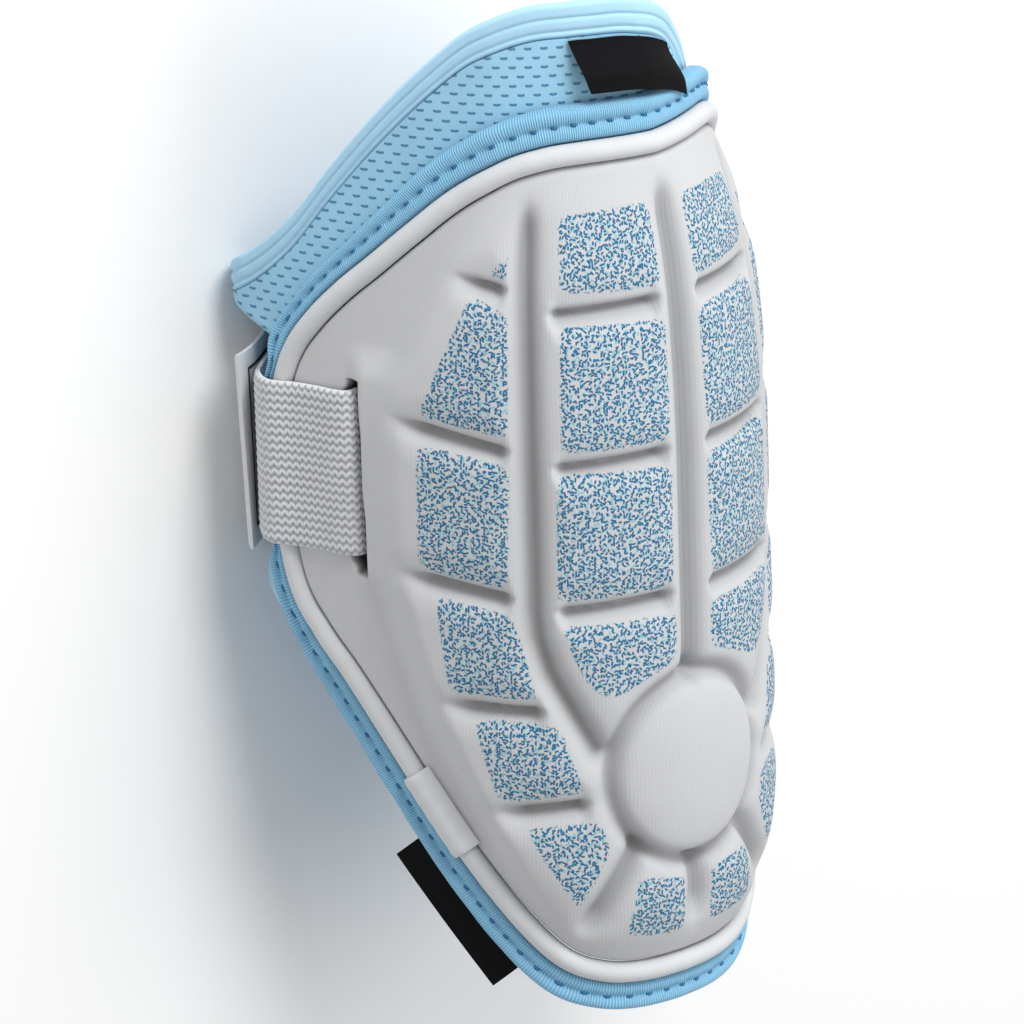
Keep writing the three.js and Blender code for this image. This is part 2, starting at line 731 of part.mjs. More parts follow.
const makers = {
  shell: shellGeometry,
  rim_bead: rimBeadGeometry,
  rim_sleeve: rimSleeveGeometry,
  edge_binding: bindingGeometry,
  liner: linerGeometry,
  sleeve: sleeveGeometry,
  top_band: topBandGeometry,
  lower_band: lowerBandGeometry,
  strap: strapGeometry,
  hook_tab: hookTabGeometry,
  top_label: topLabelGeometry,
  side_label: sideLabelGeometry,
};

const guard = new THREE.Group();
for (const [name, make] of Object.entries(makers)) {
  const [color, roughness] = finishes[name];
  const mesh = new THREE.Mesh(make(), new THREE.MeshStandardMaterial({ color, roughness, metalness: 0 }));
  mesh.name = name;
  guard.add(mesh);
}

// The guard stands on the ground, with the middle of its box over the origin.
const box = new THREE.Box3().setFromObject(guard);
const middle = box.getCenter(new THREE.Vector3());
guard.position.set(-middle.x, -middle.y, -box.min.z);

export default guard;
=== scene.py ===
import math

import bpy
import numpy as np
from mathutils import Matrix, Vector


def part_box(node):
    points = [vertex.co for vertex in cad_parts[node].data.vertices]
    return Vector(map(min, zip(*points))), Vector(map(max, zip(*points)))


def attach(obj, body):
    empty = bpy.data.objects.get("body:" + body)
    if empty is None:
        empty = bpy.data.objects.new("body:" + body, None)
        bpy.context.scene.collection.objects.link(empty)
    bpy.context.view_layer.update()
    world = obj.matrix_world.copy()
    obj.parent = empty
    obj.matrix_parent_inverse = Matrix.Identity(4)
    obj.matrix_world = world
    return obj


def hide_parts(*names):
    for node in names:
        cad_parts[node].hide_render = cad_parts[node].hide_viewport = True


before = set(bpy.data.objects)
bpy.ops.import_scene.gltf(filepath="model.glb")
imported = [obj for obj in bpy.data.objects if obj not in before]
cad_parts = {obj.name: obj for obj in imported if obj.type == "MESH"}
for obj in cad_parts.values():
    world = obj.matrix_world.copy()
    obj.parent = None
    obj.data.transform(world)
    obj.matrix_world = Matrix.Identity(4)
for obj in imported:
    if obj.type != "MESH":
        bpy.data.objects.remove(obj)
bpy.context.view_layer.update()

# Places on the pad are in millimetres. Across runs round its face from the crown line, along runs down the
# arm from just above its top edge, and proud is outwards from its flange. The raw frame has its origin in
# the centre of the crown's arc, where along is zero.
mm = 0.001
guard = {
    "padLength": 198.0,
    "padHalfWidth": 96.5,
    "flange": 2.8,
    "crownRadius": 46.0,
    "crownAngle": math.radians(55),
    "wingRadius": 144.5,
    "topTaper": 3.0,
    "sideTaper": 3.0,
    "taperLength": 75.0,
    "podRise": 6.5,
    "bossAlong": 150.0,
    "bossRise": 2.6,
    "sleeveInset": 5.2,
    "crownStretch": 1.13,
    "wingStretch": 1.03,
    "sleeveDepth": 44.0,
    "backCorner": 20.0,
    "mouthCorner": 10.0,
    "backLift": 4.1,
    "strapAlong": 78.5,
    "pullFade": 10.0,
    "tabWidth": 47.5,
}
outline = [
    (0, 0.018, 1), (0.12, 0.018, 0.999), (0.21, 0.019, 0.993), (0.3, 0.023, 0.974), (0.4, 0.036, 0.925),
    (0.52, 0.068, 0.85), (0.64, 0.115, 0.764), (0.74, 0.157, 0.692), (0.82, 0.19, 0.638), (0.9, 0.23, 0.59),
    (0.96, 0.272, 0.54), (1.0, 0.332, 0.45),
]  # across, top and bottom, as shares of the half width and the length
shellLow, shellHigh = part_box("shell")
crownTop = guard["crownRadius"] + guard["podRise"] + guard["bossRise"]
shellTop = outline[0][1] * guard["padLength"] * mm
rawOrigin = np.array([(shellLow.x + shellHigh.x) / 2, shellHigh.y + shellTop, shellHigh.z - crownTop * mm])


# Camera

shot = {
    "yaw": math.radians(40),
    "pitch": math.radians(20),
    "roll": math.radians(1.8),
    "frameWidth": 235.5,
    "right": -4.4,
    "up": -101.3,
    "lens": 350.0,
    "sensor": 36.0,
    "drop": 6.7,
}


def shotAxes():
    level = math.cos(shot["pitch"])
    back = np.array([-math.sin(shot["yaw"]) * level, math.sin(shot["pitch"]), math.cos(shot["yaw"]) * level])
    up = np.array([0, 1, 0]) - back[1] * back
    up /= np.linalg.norm(up)
    right = np.cross(up, back)
    turn = shot["roll"]
    return right * math.cos(turn) - up * math.sin(turn), right * math.sin(turn) + up * math.cos(turn), back


def makeCamera():
    right, up, back = shotAxes()
    target = right * shot["right"] + up * shot["up"] + np.array([0, shot["drop"], 0])
    distance = shot["frameWidth"] * shot["lens"] / shot["sensor"]
    spot = (target + back * distance) * mm + rawOrigin
    camera = bpy.data.objects.new("camera", bpy.data.cameras.new("camera"))
    bpy.context.collection.objects.link(camera)
    camera.data.lens = shot["lens"]
    camera.data.sensor_width = shot["sensor"]
    axes = Matrix([[right[k], up[k], back[k]] for k in range(3)]).to_4x4()
    camera.matrix_world = Matrix.Translation(Vector(spot)) @ axes
    bpy.context.scene.camera = camera


makeCamera()


# Numbers and curves

def smoothStep(low, high, value):
    share = np.clip((np.asarray(value, dtype=float) - low) / (high - low), 0, 1)
    return share * share * (3 - 2 * share)


def readTable(table, at):
    keys, values = np.array(table, dtype=float).T
    at = np.clip(np.asarray(at, dtype=float), keys[0], keys[-1])
    index = np.clip(np.searchsorted(keys, at) - 1, 0, len(keys) - 2)
    order = np.arange(len(keys))
    before = np.maximum(order - 1, 0)
    after = np.minimum(order + 1, len(keys) - 1)
    slopes = (values[after] - values[before]) / (keys[after] - keys[before])
    step = keys[index + 1] - keys[index]
    share = (at - keys[index]) / step
    start, end = values[index], values[index + 1]
    leaving = slopes[index] * step - end + start
    arriving = slopes[index + 1] * step - end + start
    bend = (1 - share) * leaving - share * arriving
    return start + (end - start) * share + share * (1 - share) * bend


def bell(distance, width):
    return np.exp(-((distance / width) ** 2))


def edgeFall(distance, reach):
    return np.clip(1 - distance / reach, 0, 1) ** 2


def runAlong(points):
    return np.concatenate([[0], np.cumsum(np.linalg.norm(np.diff(points, axis=0), axis=1))])


def sameShape(*values):
    return np.broadcast_arrays(*(np.asarray(value, dtype=float) for value in values))


def paired(first, second):
    return np.stack(np.broadcast_arrays(first, second), axis=-1)


def evenlyAlong(points, count, closed=False):
    points = np.asarray(points, dtype=float)
    if closed:
        points = np.vstack([points, points[:1]])
    run = runAlong(points)
    wanted = np.linspace(0, run[-1], count + 1)
    wanted = wanted[:-1] if closed else wanted
    return np.stack([np.interp(wanted, run, points[:, k]) for k in range(points.shape[1])], axis=1)


def smoothLine(points, count):
    points = [np.array(p, dtype=float) for p in points]
    points = [2 * points[0] - points[1], *points, 2 * points[-1] - points[-2]]
    line = []
    for p0, p1, p2, p3 in zip(points, points[1:], points[2:], points[3:]):
        gaps = [max(np.linalg.norm(b - a), 1e-6) ** 0.5 for a, b in ((p0, p1), (p1, p2), (p2, p3))]
        startTangent = (p1 - p0) / gaps[0] - (p2 - p0) / (gaps[0] + gaps[1]) + (p2 - p1) / gaps[1]
        endTangent = (p2 - p1) / gaps[1] - (p3 - p1) / (gaps[1] + gaps[2]) + (p3 - p2) / gaps[2]
        u = np.linspace(0, 1, 24, endpoint=False)[:, None]
        cubic = (2 * u**3 - 3 * u**2 + 1) * p1 + (3 * u**2 - 2 * u**3) * p2
        cubic += (u**3 - 2 * u**2 + u) * startTangent * gaps[1]
        cubic += (u**3 - u**2) * endTangent * gaps[1]
        line.append(cubic)
    line.append(points[-2][None])
    return evenlyAlong(np.vstack(line), count)


def softNoise(place, scale, seed):
    rng = np.random.default_rng(seed)
    total = np.zeros(place.shape[:-1])
    for _ in range(6):
        wave = rng.normal(size=place.shape[-1])
        wave *= 2 * math.pi / (scale * np.linalg.norm(wave)) * rng.uniform(0.6, 1.6)
        total += np.sin(place @ wave + rng.uniform(0, 2 * math.pi))
    return total / 6


# The pad's form

def padEdge(across, column):
    shares = [(row[0], row[column]) for row in outline]
    return guard["padLength"] * readTable(shares, np.abs(across) / guard["padHalfWidth"])


def padTop(across):
    return padEdge(across, 1)


def padBottom(across):
    return padEdge(across, 2)


def taper(along, turned):
    sunk = guard["topTaper"] * np.maximum(0, np.cos(turned))
    sunk = sunk + guard["sideTaper"] * np.maximum(0, np.sin(2 * turned))
    return sunk * (1 - smoothStep(0, guard["taperLength"], along))


def padPoint(across, along, proud):
    across, along, proud = sameShape(across, along, proud)
    radius, wing, angle = guard["crownRadius"], guard["wingRadius"], guard["crownAngle"]
    reach = np.abs(across)
    turned = np.where(reach < radius * angle, reach / radius, angle + (reach - radius * angle) / wing)
    bent = np.minimum(turned, angle)
    x = radius * np.sin(bent) + wing * (np.sin(turned) - np.sin(bent))
    z = radius * np.cos(bent) + wing * (np.cos(turned) - np.cos(bent))
    out = proud - taper(along, turned)
    x = np.sign(across) * (x + out * np.sin(turned))
    return np.stack([x, -along, z + out * np.cos(turned)], axis=-1)


def flatPlace(across, along):
    crown = guard["crownRadius"] * guard["crownAngle"]
    reach = np.abs(across)
    wide = np.minimum(reach, crown) * guard["crownStretch"]  # about true millimetres over the pods
    wide = wide + np.maximum(reach - crown, 0) * guard["wingStretch"]
    return paired(np.sign(across) * wide, np.asarray(along, dtype=float))


def rimPath(count):
    share = np.sin(np.linspace(0, 1, 200) * math.pi / 2) * guard["padHalfWidth"]
    right = [*np.stack([share, padTop(share)], axis=1), *np.stack([share, padBottom(share)], axis=1)[::-1]]
    left = [np.array([-a, t]) for a, t in right[1:-1]][::-1]
    return evenlyAlong(right + left, count, closed=True)


def pathSides(path, closed):
    if closed:
        tangent = np.roll(path, -1, axis=0) - np.roll(path, 1, axis=0)
    else:
        tangent = np.gradient(path, axis=0)
    tangent /= np.linalg.norm(tangent, axis=1)[:, None]
    return np.stack([tangent[:, 1], -tangent[:, 0]], axis=1)


def alongRim(path, sides, outward, proud):
    across = path[:, :1] + outward * sides[:, :1]
    along = path[:, 1:] + outward * sides[:, 1:]
    return padPoint(across, along, proud)


# The sleeve's form

def strapPull(along):
    off = np.abs(along - guard["strapAlong"]) - guard["tabWidth"] / 2
    return 1 - smoothStep(0, guard["pullFade"], off)


def sleeveSection(along):
    pull = strapPull(along)
    depth = guard["sleeveDepth"] + guard["backLift"] * (1 - pull)
    corner, sharper = guard["backCorner"], guard["mouthCorner"]
    corner = corner + (sharper - corner) * np.where(along < guard["strapAlong"], 1 - pull, 0)
    crown = guard["crownRadius"] - guard["sleeveInset"]
    wing = guard["wingRadius"] - guard["sleeveInset"]
    angle = guard["crownAngle"]
    low = (depth - corner + crown * math.cos(angle) - wing * math.cos(angle)) / (corner - wing)
    heading = np.arccos(np.clip(low, 0, math.cos(angle)))
    reach = crown * math.sin(angle) + wing * (np.sin(heading) - math.sin(angle))
    flat = reach - corner * np.sin(heading)
    lengths = [np.full_like(flat, crown * angle), wing * (heading - angle)]
    lengths += [corner * (math.pi - heading), flat]
    return lengths, [crown, wing, corner, None], crown


def halfRound(along):
    return float(sum(sleeveSection(np.asarray(along, dtype=float))[0]))


def sleevePoint(share, along, proud):
    share, along, proud = sameShape(share, along, proud)
    share = np.mod(share, 1)
    lengths, bends, crown = sleeveSection(along)
    left = np.minimum(share, 1 - share) * 2 * sum(lengths)
    x, z, turned = np.zeros_like(left), np.full_like(left, crown), np.zeros_like(left)
    for length, bend in zip(lengths, bends):
        run = np.minimum(left, length)
        if bend is None:
            x = x - run
        else:
            end = turned + run / bend
            x = x + bend * (np.sin(end) - np.sin(turned))
            z = z + bend * (np.cos(end) - np.cos(turned))
            turned = end
        left = left - run
    out = proud - taper(along, turned)
    side = np.where(share < 0.5, 1, -1)
    return np.stack([side * (x + out * np.sin(turned)), -along, z + out * np.cos(turned)], axis=-1)


mouths = [
    (0, 1, 1), (0.08, 0.99, 1), (0.16, 0.93, 1), (0.22, 0.83, 1), (0.3, 0.66, 1), (0.38, 0.46, 0.99),
    (0.45, 0.27, 0.85), (0.52, 0.14, 0.5), (0.58, 0.08, 0.26), (0.7, 0.02, 0.05), (1, 0, 0),
]  # round, rise, fall
mouth = {
    "tongueRise": 33.5,
    "tongueShift": -16.0,
    "backTop": 42.0,
    "backBottom": 112.0,
    "frontBottom": 150.0,
}


def roundShare(share):
    return 1 - np.abs(1 - 2 * np.mod(share, 1))


def mouthTop(share):
    shifted = share - mouth["tongueShift"] / (2 * halfRound(mouth["backTop"]))
    rise = readTable([(r, up) for r, up, _ in mouths], roundShare(shifted))
    return mouth["backTop"] - (mouth["backTop"] + mouth["tongueRise"]) * rise


def mouthBottom(share):
    fall = readTable([(r, down) for r, _, down in mouths], roundShare(share))
    return mouth["backBottom"] + (mouth["frontBottom"] - mouth["backBottom"]) * fall


# Meshes

def buildMesh(name, points, faces, flat=None, extra=None):
    world = np.asarray(points, dtype=float).reshape(-1, 3) * mm + rawOrigin
    mesh = bpy.data.meshes.new(name)
    mesh.from_pydata(world.tolist(), [], faces)
    mesh.update()
    corners = world[np.array([f[:3] for f in faces])]
    volume = np.einsum("ij,ij->", corners[:, 0], np.cross(corners[:, 1], corners[:, 2]))
    if volume < 0:
        mesh.flip_normals()
    if flat is not None:
        layer = mesh.attributes.new("flat", "FLOAT_VECTOR", "POINT")
        spread = np.concatenate([flat.reshape(-1, 2), np.zeros((len(world), 1))], axis=1)
        layer.data.foreach_set("vector", spread.astype(np.float32).ravel())
    for key, values in (extra or {}).items():
        layer = mesh.attributes.new(key, "FLOAT", "POINT")
        layer.data.foreach_set("value", np.asarray(values, dtype=np.float32).ravel())
    mesh.shade_smooth()
    mesh.set_sharp_from_angle(angle=math.radians(60))
    piece = bpy.data.objects.new(name, mesh)
    bpy.context.collection.objects.link(piece)
    return piece


def skin(name, rings, closed, flat=None, extra=None):
    count, size = rings.shape[:2]
    i = np.arange(count if closed else count - 1)[:, None]
    k = np.arange(size)[None, :]
    here, there = i * size, ((i + 1) % count) * size
    after = (k + 1) % size
    corners = [here + k, here + after, there + after, there + k]
    faces = np.stack(corners, axis=-1).reshape(-1, 4).tolist()
    if not closed:
        faces.append(list(range(size))[::-1])
        faces.append(list(range((count - 1) * size, count * size)))
    return buildMesh(name, rings, faces, flat, extra)


def wall(name, outer, inner, closed, flatOuter, flatInner, extra=None):
    rings = np.concatenate([outer, inner[:, ::-1]], axis=1)
    flat = np.concatenate([flatOuter, flatInner[:, ::-1]], axis=1)
    values = {}
    for key, grid in (extra or {}).items():
        values[key] = np.concatenate([grid, np.zeros(inner.shape[:2])], axis=1)
    return skin(name, rings, closed, flat, values)


def dress(piece, material, nodes=()):
    piece.data.materials.append(material)
    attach(piece, "root")
    if nodes:
        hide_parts(*nodes)
    return piece


# Shader wiring

class Wires:
    def __init__(self, tree):
        self.tree = tree

    def feed(self, socket, value):
        if isinstance(value, bpy.types.NodeSocket):
            self.tree.links.new(value, socket)
        else:
            socket.default_value = value

    def node(self, kind, inputs=None, **settings):
        made = self.tree.nodes.new(kind)
        for key, value in settings.items():
            setattr(made, key, value)
        for key, value in (inputs or {}).items():
            self.feed(made.inputs[key], value)
        return made

    def math(self, operation, *values):
        made = self.node("ShaderNodeMath", operation=operation)
        for socket, value in zip(made.inputs, values):
            self.feed(socket, value)
        return made.outputs[0]

    def vector(self, operation, *values):
        made = self.node("ShaderNodeVectorMath", operation=operation)
        for socket, value in zip(made.inputs, values):
            self.feed(socket, value)
        return made.outputs[0]

    def scaled(self, vector, factor):
        inputs = {"Vector": vector, "Scale": factor}
        return self.node("ShaderNodeVectorMath", inputs, operation="SCALE").outputs[0]

    def parts(self, vector):
        return self.node("ShaderNodeSeparateXYZ", {"Vector": vector}).outputs

    def ramp(self, value, low, high, start=0.0, end=1.0):
        inputs = {"Value": value, "From Min": low, "From Max": high, "To Min": start, "To Max": end}
        return self.node("ShaderNodeMapRange", inputs, interpolation_type="SMOOTHSTEP").outputs[0]

    def blend(self, share, low, high):
        made = self.node("ShaderNodeMix", {0: share, 6: low, 7: high}, data_type="RGBA")
        return made.outputs[2]

    def noise(self, vector, scale, detail=2.0):
        inputs = {"Vector": vector, "Scale": scale, "Detail": detail}
        return self.node("ShaderNodeTexNoise", inputs).outputs[0]

    def attribute(self, name):
        return self.node("ShaderNodeAttribute", attribute_name=name)

    def group(self, tree, inputs):
        made = self.node("ShaderNodeGroup")
        made.node_tree = tree
        for key, value in inputs.items():
            self.feed(made.inputs[key], value)
        return made.outputs[0]


socketKinds = {"Place": "NodeSocketVector", "Cell": "NodeSocketVector", "Colour": "NodeSocketColor"}
nearBlack = (0.02, 0.02, 0.025, 1)


def shaderGroup(name, inputs, output, build):
    tree = bpy.data.node_groups.new(name, "ShaderNodeTree")
    for key, start in inputs.items():
        kind = socketKinds.get(key, "NodeSocketFloat")
        socket = tree.interface.new_socket(key, in_out="INPUT", socket_type=kind)
        if start is not None:
            socket.default_value = start
    kind = socketKinds.get(output, "NodeSocketFloat")
    tree.interface.new_socket(output, in_out="OUTPUT", socket_type=kind)
    wires = Wires(tree)
    start = wires.node("NodeGroupInput")
    result = build(wires, start.outputs)
    finish = wires.node("NodeGroupOutput")
    wires.feed(finish.inputs[output], result)
    return tree


def ribWaves(w, given):
    turn = w.math("MULTIPLY", w.math("DIVIDE", given["Value"], given["Pitch"]), 2 * math.pi)
    return w.math("MULTIPLY_ADD", w.math("SINE", turn), 0.5, 0.5)


def weaveHeight(w, given):
    x, y, _ = w.parts(w.scaled(given["Place"], w.math("DIVIDE", 2 * math.pi, given["Pitch"])))
    woven = w.math("MULTIPLY", w.math("SINE", x), w.math("SINE", y))
    fuzz = w.noise(given["Place"], 1.7)
    return w.math("MULTIPLY_ADD", woven, 0.35, w.math("MULTIPLY_ADD", fuzz, 0.5, 0.25))


def roundedDash(w, given, lengthways, sideways, solidShare):
    past = w.math("MAXIMUM", w.math("SUBTRACT", w.math("ABSOLUTE", lengthways), given["Half length"]), 0.0)
    distance = w.math("SQRT", w.math("ADD", w.math("POWER", past, 2.0), w.math("POWER", sideways, 2.0)))
    return w.ramp(distance, given["Half width"], w.math("MULTIPLY", given["Half width"], solidShare))


def dashMask(w, given):
    place = w.vector("DIVIDE", given["Place"], given["Cell"])
    cells = w.node("ShaderNodeTexVoronoi", {"Vector": place, "Scale": 1.0}, voronoi_dimensions="2D")
    turn = w.math("MULTIPLY", w.parts(cells.outputs["Color"])[0], 2 * math.pi)
    dx, dy, _ = w.parts(w.vector("SUBTRACT", place, cells.outputs["Position"]))
    cosine, sine = w.math("COSINE", turn), w.math("SINE", turn)
    lengthways = w.math("ADD", w.math("MULTIPLY", dx, cosine), w.math("MULTIPLY", dy, sine))
    sideways = w.math("SUBTRACT", w.math("MULTIPLY", dy, cosine), w.math("MULTIPLY", dx, sine))
    return roundedDash(w, given, lengthways, sideways, 0.6)


def slitMask(w, given):
    x, y, _ = w.parts(given["Place"])
    cellsBefore = 1000.0  # keeps the number of each row and column above zero
    row = w.math("ADD", w.math("DIVIDE", y, given["Row pitch"]), cellsBefore)
    odd = w.math("MULTIPLY", w.math("MODULO", w.math("FLOOR", row), 2.0), 0.5)
    column = w.math("ADD", w.math("DIVIDE", x, given["Pitch"]), w.math("ADD", odd, cellsBefore))
    dx = w.math("MULTIPLY", w.math("SUBTRACT", w.math("FRACT", column), 0.5), given["Pitch"])
    dy = w.math("MULTIPLY", w.math("SUBTRACT", w.math("FRACT", row), 0.5), given["Row pitch"])
    bent = w.math("MULTIPLY_ADD", w.math("ABSOLUTE", dx), 0.15, dy)
    return roundedDash(w, given, dx, bent, 0.4)


def mottledColour(w, given):
    cloud = w.noise(given["Place"], given["Scale"], 3.0)
    low = w.scaled(given["Colour"], w.math("SUBTRACT", 1.0, given["Amount"]))
    high = w.scaled(given["Colour"], w.math("ADD", 1.0, given["Amount"]))
    return w.blend(cloud, low, high)


dashInputs = {"Place": None, "Cell": None, "Half length": 0.4, "Half width": 0.2}
slitInputs = {"Place": None, "Pitch": 3.9, "Row pitch": 2.4, "Half length": 0.6, "Half width": 0.35}
mottleInputs = {"Place": None, "Colour": None, "Scale": 0.1, "Amount": 0.05}
ribs = shaderGroup("Ribs", {"Value": 0.0, "Pitch": 1.0}, "Height", ribWaves)
weave = shaderGroup("Weave", {"Place": None, "Pitch": 0.5}, "Height", weaveHeight)
dashes = shaderGroup("Dashes", dashInputs, "Mask", dashMask)
slits = shaderGroup("Slits", slitInputs, "Mask", slitMask)
mottle = shaderGroup("Mottle", mottleInputs, "Colour", mottledColour)


def clothMaterial(name, look, build):
    material = bpy.data.materials.new(name)
    material.use_nodes = True
    tree = material.node_tree
    tree.nodes.clear()
    w = Wires(tree)
    shader = w.node("ShaderNodeBsdfPrincipled", {
        "Roughness": look["roughness"],
        "Specular IOR Level": look.get("specular", 0.3),
        "Sheen Weight": look.get("sheen", 0.0),
        "Sheen Roughness": 0.5,
    })
    place = w.attribute("flat").outputs["Vector"]
    colour, height = build(w, place, look)
    w.feed(shader.inputs["Base Color"], colour)
    relief = {"Height": height, "Strength": look["bump"], "Distance": look["relief"] * mm}
    w.feed(shader.inputs["Normal"], w.node("ShaderNodeBump", relief).outputs[0])
    output = w.node("ShaderNodeOutputMaterial")
    w.feed(output.inputs["Surface"], shader.outputs[0])
    material.diffuse_color = look["colour"]
    return material


# Shell

print("shell")
shell = {
    "columns": 290,
    "rows": 276,
    "innerRows": 10,
    "fieldHalfWidth": 62.0,
    "fieldShoulder": 13.0,
    "topSlope": 40.0,
    "bottomSlope": 22.0,
    "podBulge": 1.0,
    "bulgeReach": 10.0,
    "valleyDepth": 3.5,
    "valleyWidth": 2.5,
    "creaseAbove": 1.1,
    "creaseBelow": 2.3,
    "lipWidth": 4.2,
    "lipDepth": 0.6,
    "longValley": 35.0,
    "rowAlong": (35.5, 71.5, 106.5),
    "bossRadius": 20.5,
    "ringRadius": 23.0,
    "ringWidth": 1.9,
    "ringDepth": 2.6,
    "ringShoulder": 5.0,
    "shoulderDepth": 0.8,
    "slotAcross": 77.4,
    "slotLength": 46.0,
    "slotLean": 1.4,
    "slotInner": 1.6,
    "slotOuter": 2.9,
    "slotEnd": 1.2,
    "slotTail": 2.0,
    "edgeRound": 0.8,
    "edgeReach": 1.6,
    "patchCorner": 0.9,
    "lipRise": 2.0,
    "lipFade": 9.0,
}
shellLook = {
    "colour": (0.53, 0.535, 0.545, 1), "roughness": 0.9, "specular": 0.2, "sheen": 0.05,
    "bump": 0.4, "relief": 0.25,
}
speckleLook = {
    "dark": (0.001, 0.115, 0.25, 1),
    "light": (0.10, 0.42, 0.50, 1),
    "cell": (1.28, 1.28, 1.0),
    "halfLength": 0.18,
    "halfWidth": 0.22,
}
fieldEdge = [
    (0, 0.6), (0.15, 0.8), (0.31, 1.0), (0.5, 1.0), (0.66, 0.87), (0.79, 0.7), (1, 0.4),
]  # along, edge
sideValleys = [
    ((53.0, 27.7), (38.6, 31.1)), ((66.5, 61.6), (38.6, 68.5)), ((65.6, 98.6), (38.6, 104.1)),
    ((57.0, 130.1), (32.8, 131.7)), ((46.3, 156.6), (24.1, 154.6)),
]  # outer and inner end, each across and along
patches = [
    [(5.0, 13.0), (27.0, 14.0), (27.8, 31.0), (4.8, 32.5)],
    [(4.6, 39.8), (28.0, 39.1), (28.6, 68.4), (5.0, 68.7)],
    [(4.8, 75.0), (29.6, 74.0), (30.2, 104.4), (5.2, 104.2)],
    [(4.6, 111.0), (29.8, 110.7), (24.2, 126.4), (19.9, 129.3), (4.6, 122.0)],
    [(43.4, 27.5), (38.7, 21.7), (38.6, 28.4)],
    [(47.5, 32.0), (38.9, 35.5), (39.2, 64.5), (59.4, 60.7)],
    [(59.5, 67.3), (39.3, 71.5), (40.1, 101.3), (60.0, 97.5)],
    [(56.4, 104.0), (39.5, 107.6), (34.7, 128.4), (53.8, 127.0)],
    [(48.5, 133.6), (30.6, 134.6), (25.8, 151.8), (43.4, 153.4)],
    [(38.2, 160.0), (22.8, 159.0), (20.5, 166.0), (27.5, 181.0)],
    [(14.7, 174.6), (3.6, 176.6), (3.6, 191.0), (17.6, 189.2)],
]  # corners, each across and along, repeated on the other side


def valleyLines():
    ring = shell["ringRadius"]
    boss = guard["bossAlong"]
    edge = shell["longValley"]
    lines = [
        ([(0, 3), (0, boss - ring)], 1.0, 12, 0, False),
        ([(0, boss + ring), (0, 191)], 0.85, 0, 9, False),
    ]  # line, depth share, fade length at its start and at its end, whether it is a crease across a column
    for side in (-1, 1):
        turn = boss - 42
        longLine = [(edge * 0.97, 4), (edge, 30), (edge, turn)]
        longLine += [(edge * 0.985, turn + 6), (edge * 0.91, turn + 15), (ring * 0.99, boss - ring * 0.34)]
        lines.append(([(side * a, t) for a, t in longLine], 1.0, 14, 0, False))
        for along in shell["rowAlong"]:
            row = [(side * 4.4, along), (side * 17, along + 0.3), (side * 30.8, along + 0.8)]
            lines.append((row, 0.95, 3.0, 3.0, True))
        for outer, inner in sideValleys:
            lines.append(([(side * outer[0], outer[1]), (side * inner[0], inner[1])], 0.95, 10, 3.0, True))
        lines.append(([(side * ring * 0.62, boss + ring * 0.76), (side * 28.5, 190)], 0.95, 0, 10, False))
    return lines


def easeIn(run, length):
    return smoothStep(0, length, run) if length else 1.0


def lineDistance(place, line):
    line = flatPlace(*np.array(line, dtype=float).T)
    best = np.full(place.shape[:-1], 1e9)
    run, below = np.zeros_like(best), np.zeros_like(best)
    done = 0.0
    for a, b in zip(line, line[1:]):
        step = b - a
        length = np.linalg.norm(step)
        share = np.clip(((place - a) @ step) / length**2, 0, 1)
        offset = place - a - share[..., None] * step
        gap = np.linalg.norm(offset, axis=-1)
        closer = gap < best
        best = np.where(closer, gap, best)
        run = np.where(closer, done + share * length, run)
        below = np.where(closer, offset[..., 1], below)
        done += length
    return best, run, below, done


def patchDepth(across, along):
    place = flatPlace(np.abs(across), along)
    deepest = np.full(across.shape, -1e9)
    for patch in patches:
        corners = flatPlace(*np.array(patch, dtype=float).T)
        middle = corners.mean(axis=0)
        crowding = np.zeros(across.shape)
        for a, b in zip(corners, np.roll(corners, -1, axis=0)):
            normal = np.array([b[1] - a[1], a[0] - b[0]]) / np.linalg.norm(b - a)
            normal *= np.sign((middle - a) @ normal)
            crowding += np.exp(np.clip(-shell["patchCorner"] * ((place - a) @ normal), -60, 60))
        deepest = np.maximum(deepest, -np.log(crowding) / shell["patchCorner"])
    return deepest


def pastField(across, along):
    edge = shell["fieldHalfWidth"] * readTable(fieldEdge, along / guard["padLength"])
    return smoothStep(edge, edge + shell["fieldShoulder"], np.abs(across))


def faceRise(across, along):
    side = 1 - pastField(across, along)
    fromTop = np.clip((along - padTop(across)) / shell["topSlope"], 0, 1)
    fromBottom = np.clip((padBottom(across) - along) / shell["bottomSlope"], 0, 1)
    return guard["podRise"] * side * (1 - (1 - fromTop) ** 2.2) * (1 - (1 - fromBottom) ** 2.2)


def slotPit(across, along):
    down = along - guard["strapAlong"]
    out = np.abs(across) - shell["slotAcross"] + shell["slotLean"] * down / shell["slotLength"]
    half = shell["slotLength"] / 2 + np.where(down > 0, shell["slotTail"], 0)
    narrowing = smoothStep(half - 5, half - 1, np.abs(down))
    outer = shell["slotOuter"] + (shell["slotEnd"] - shell["slotOuter"]) * narrowing
    width = np.where(out < 0, shell["slotInner"], outer)
    sideways = 1 - smoothStep(-0.5, 0.5, np.abs(out) - width)
    return sideways * (1 - smoothStep(half - 1, half, np.abs(down)))


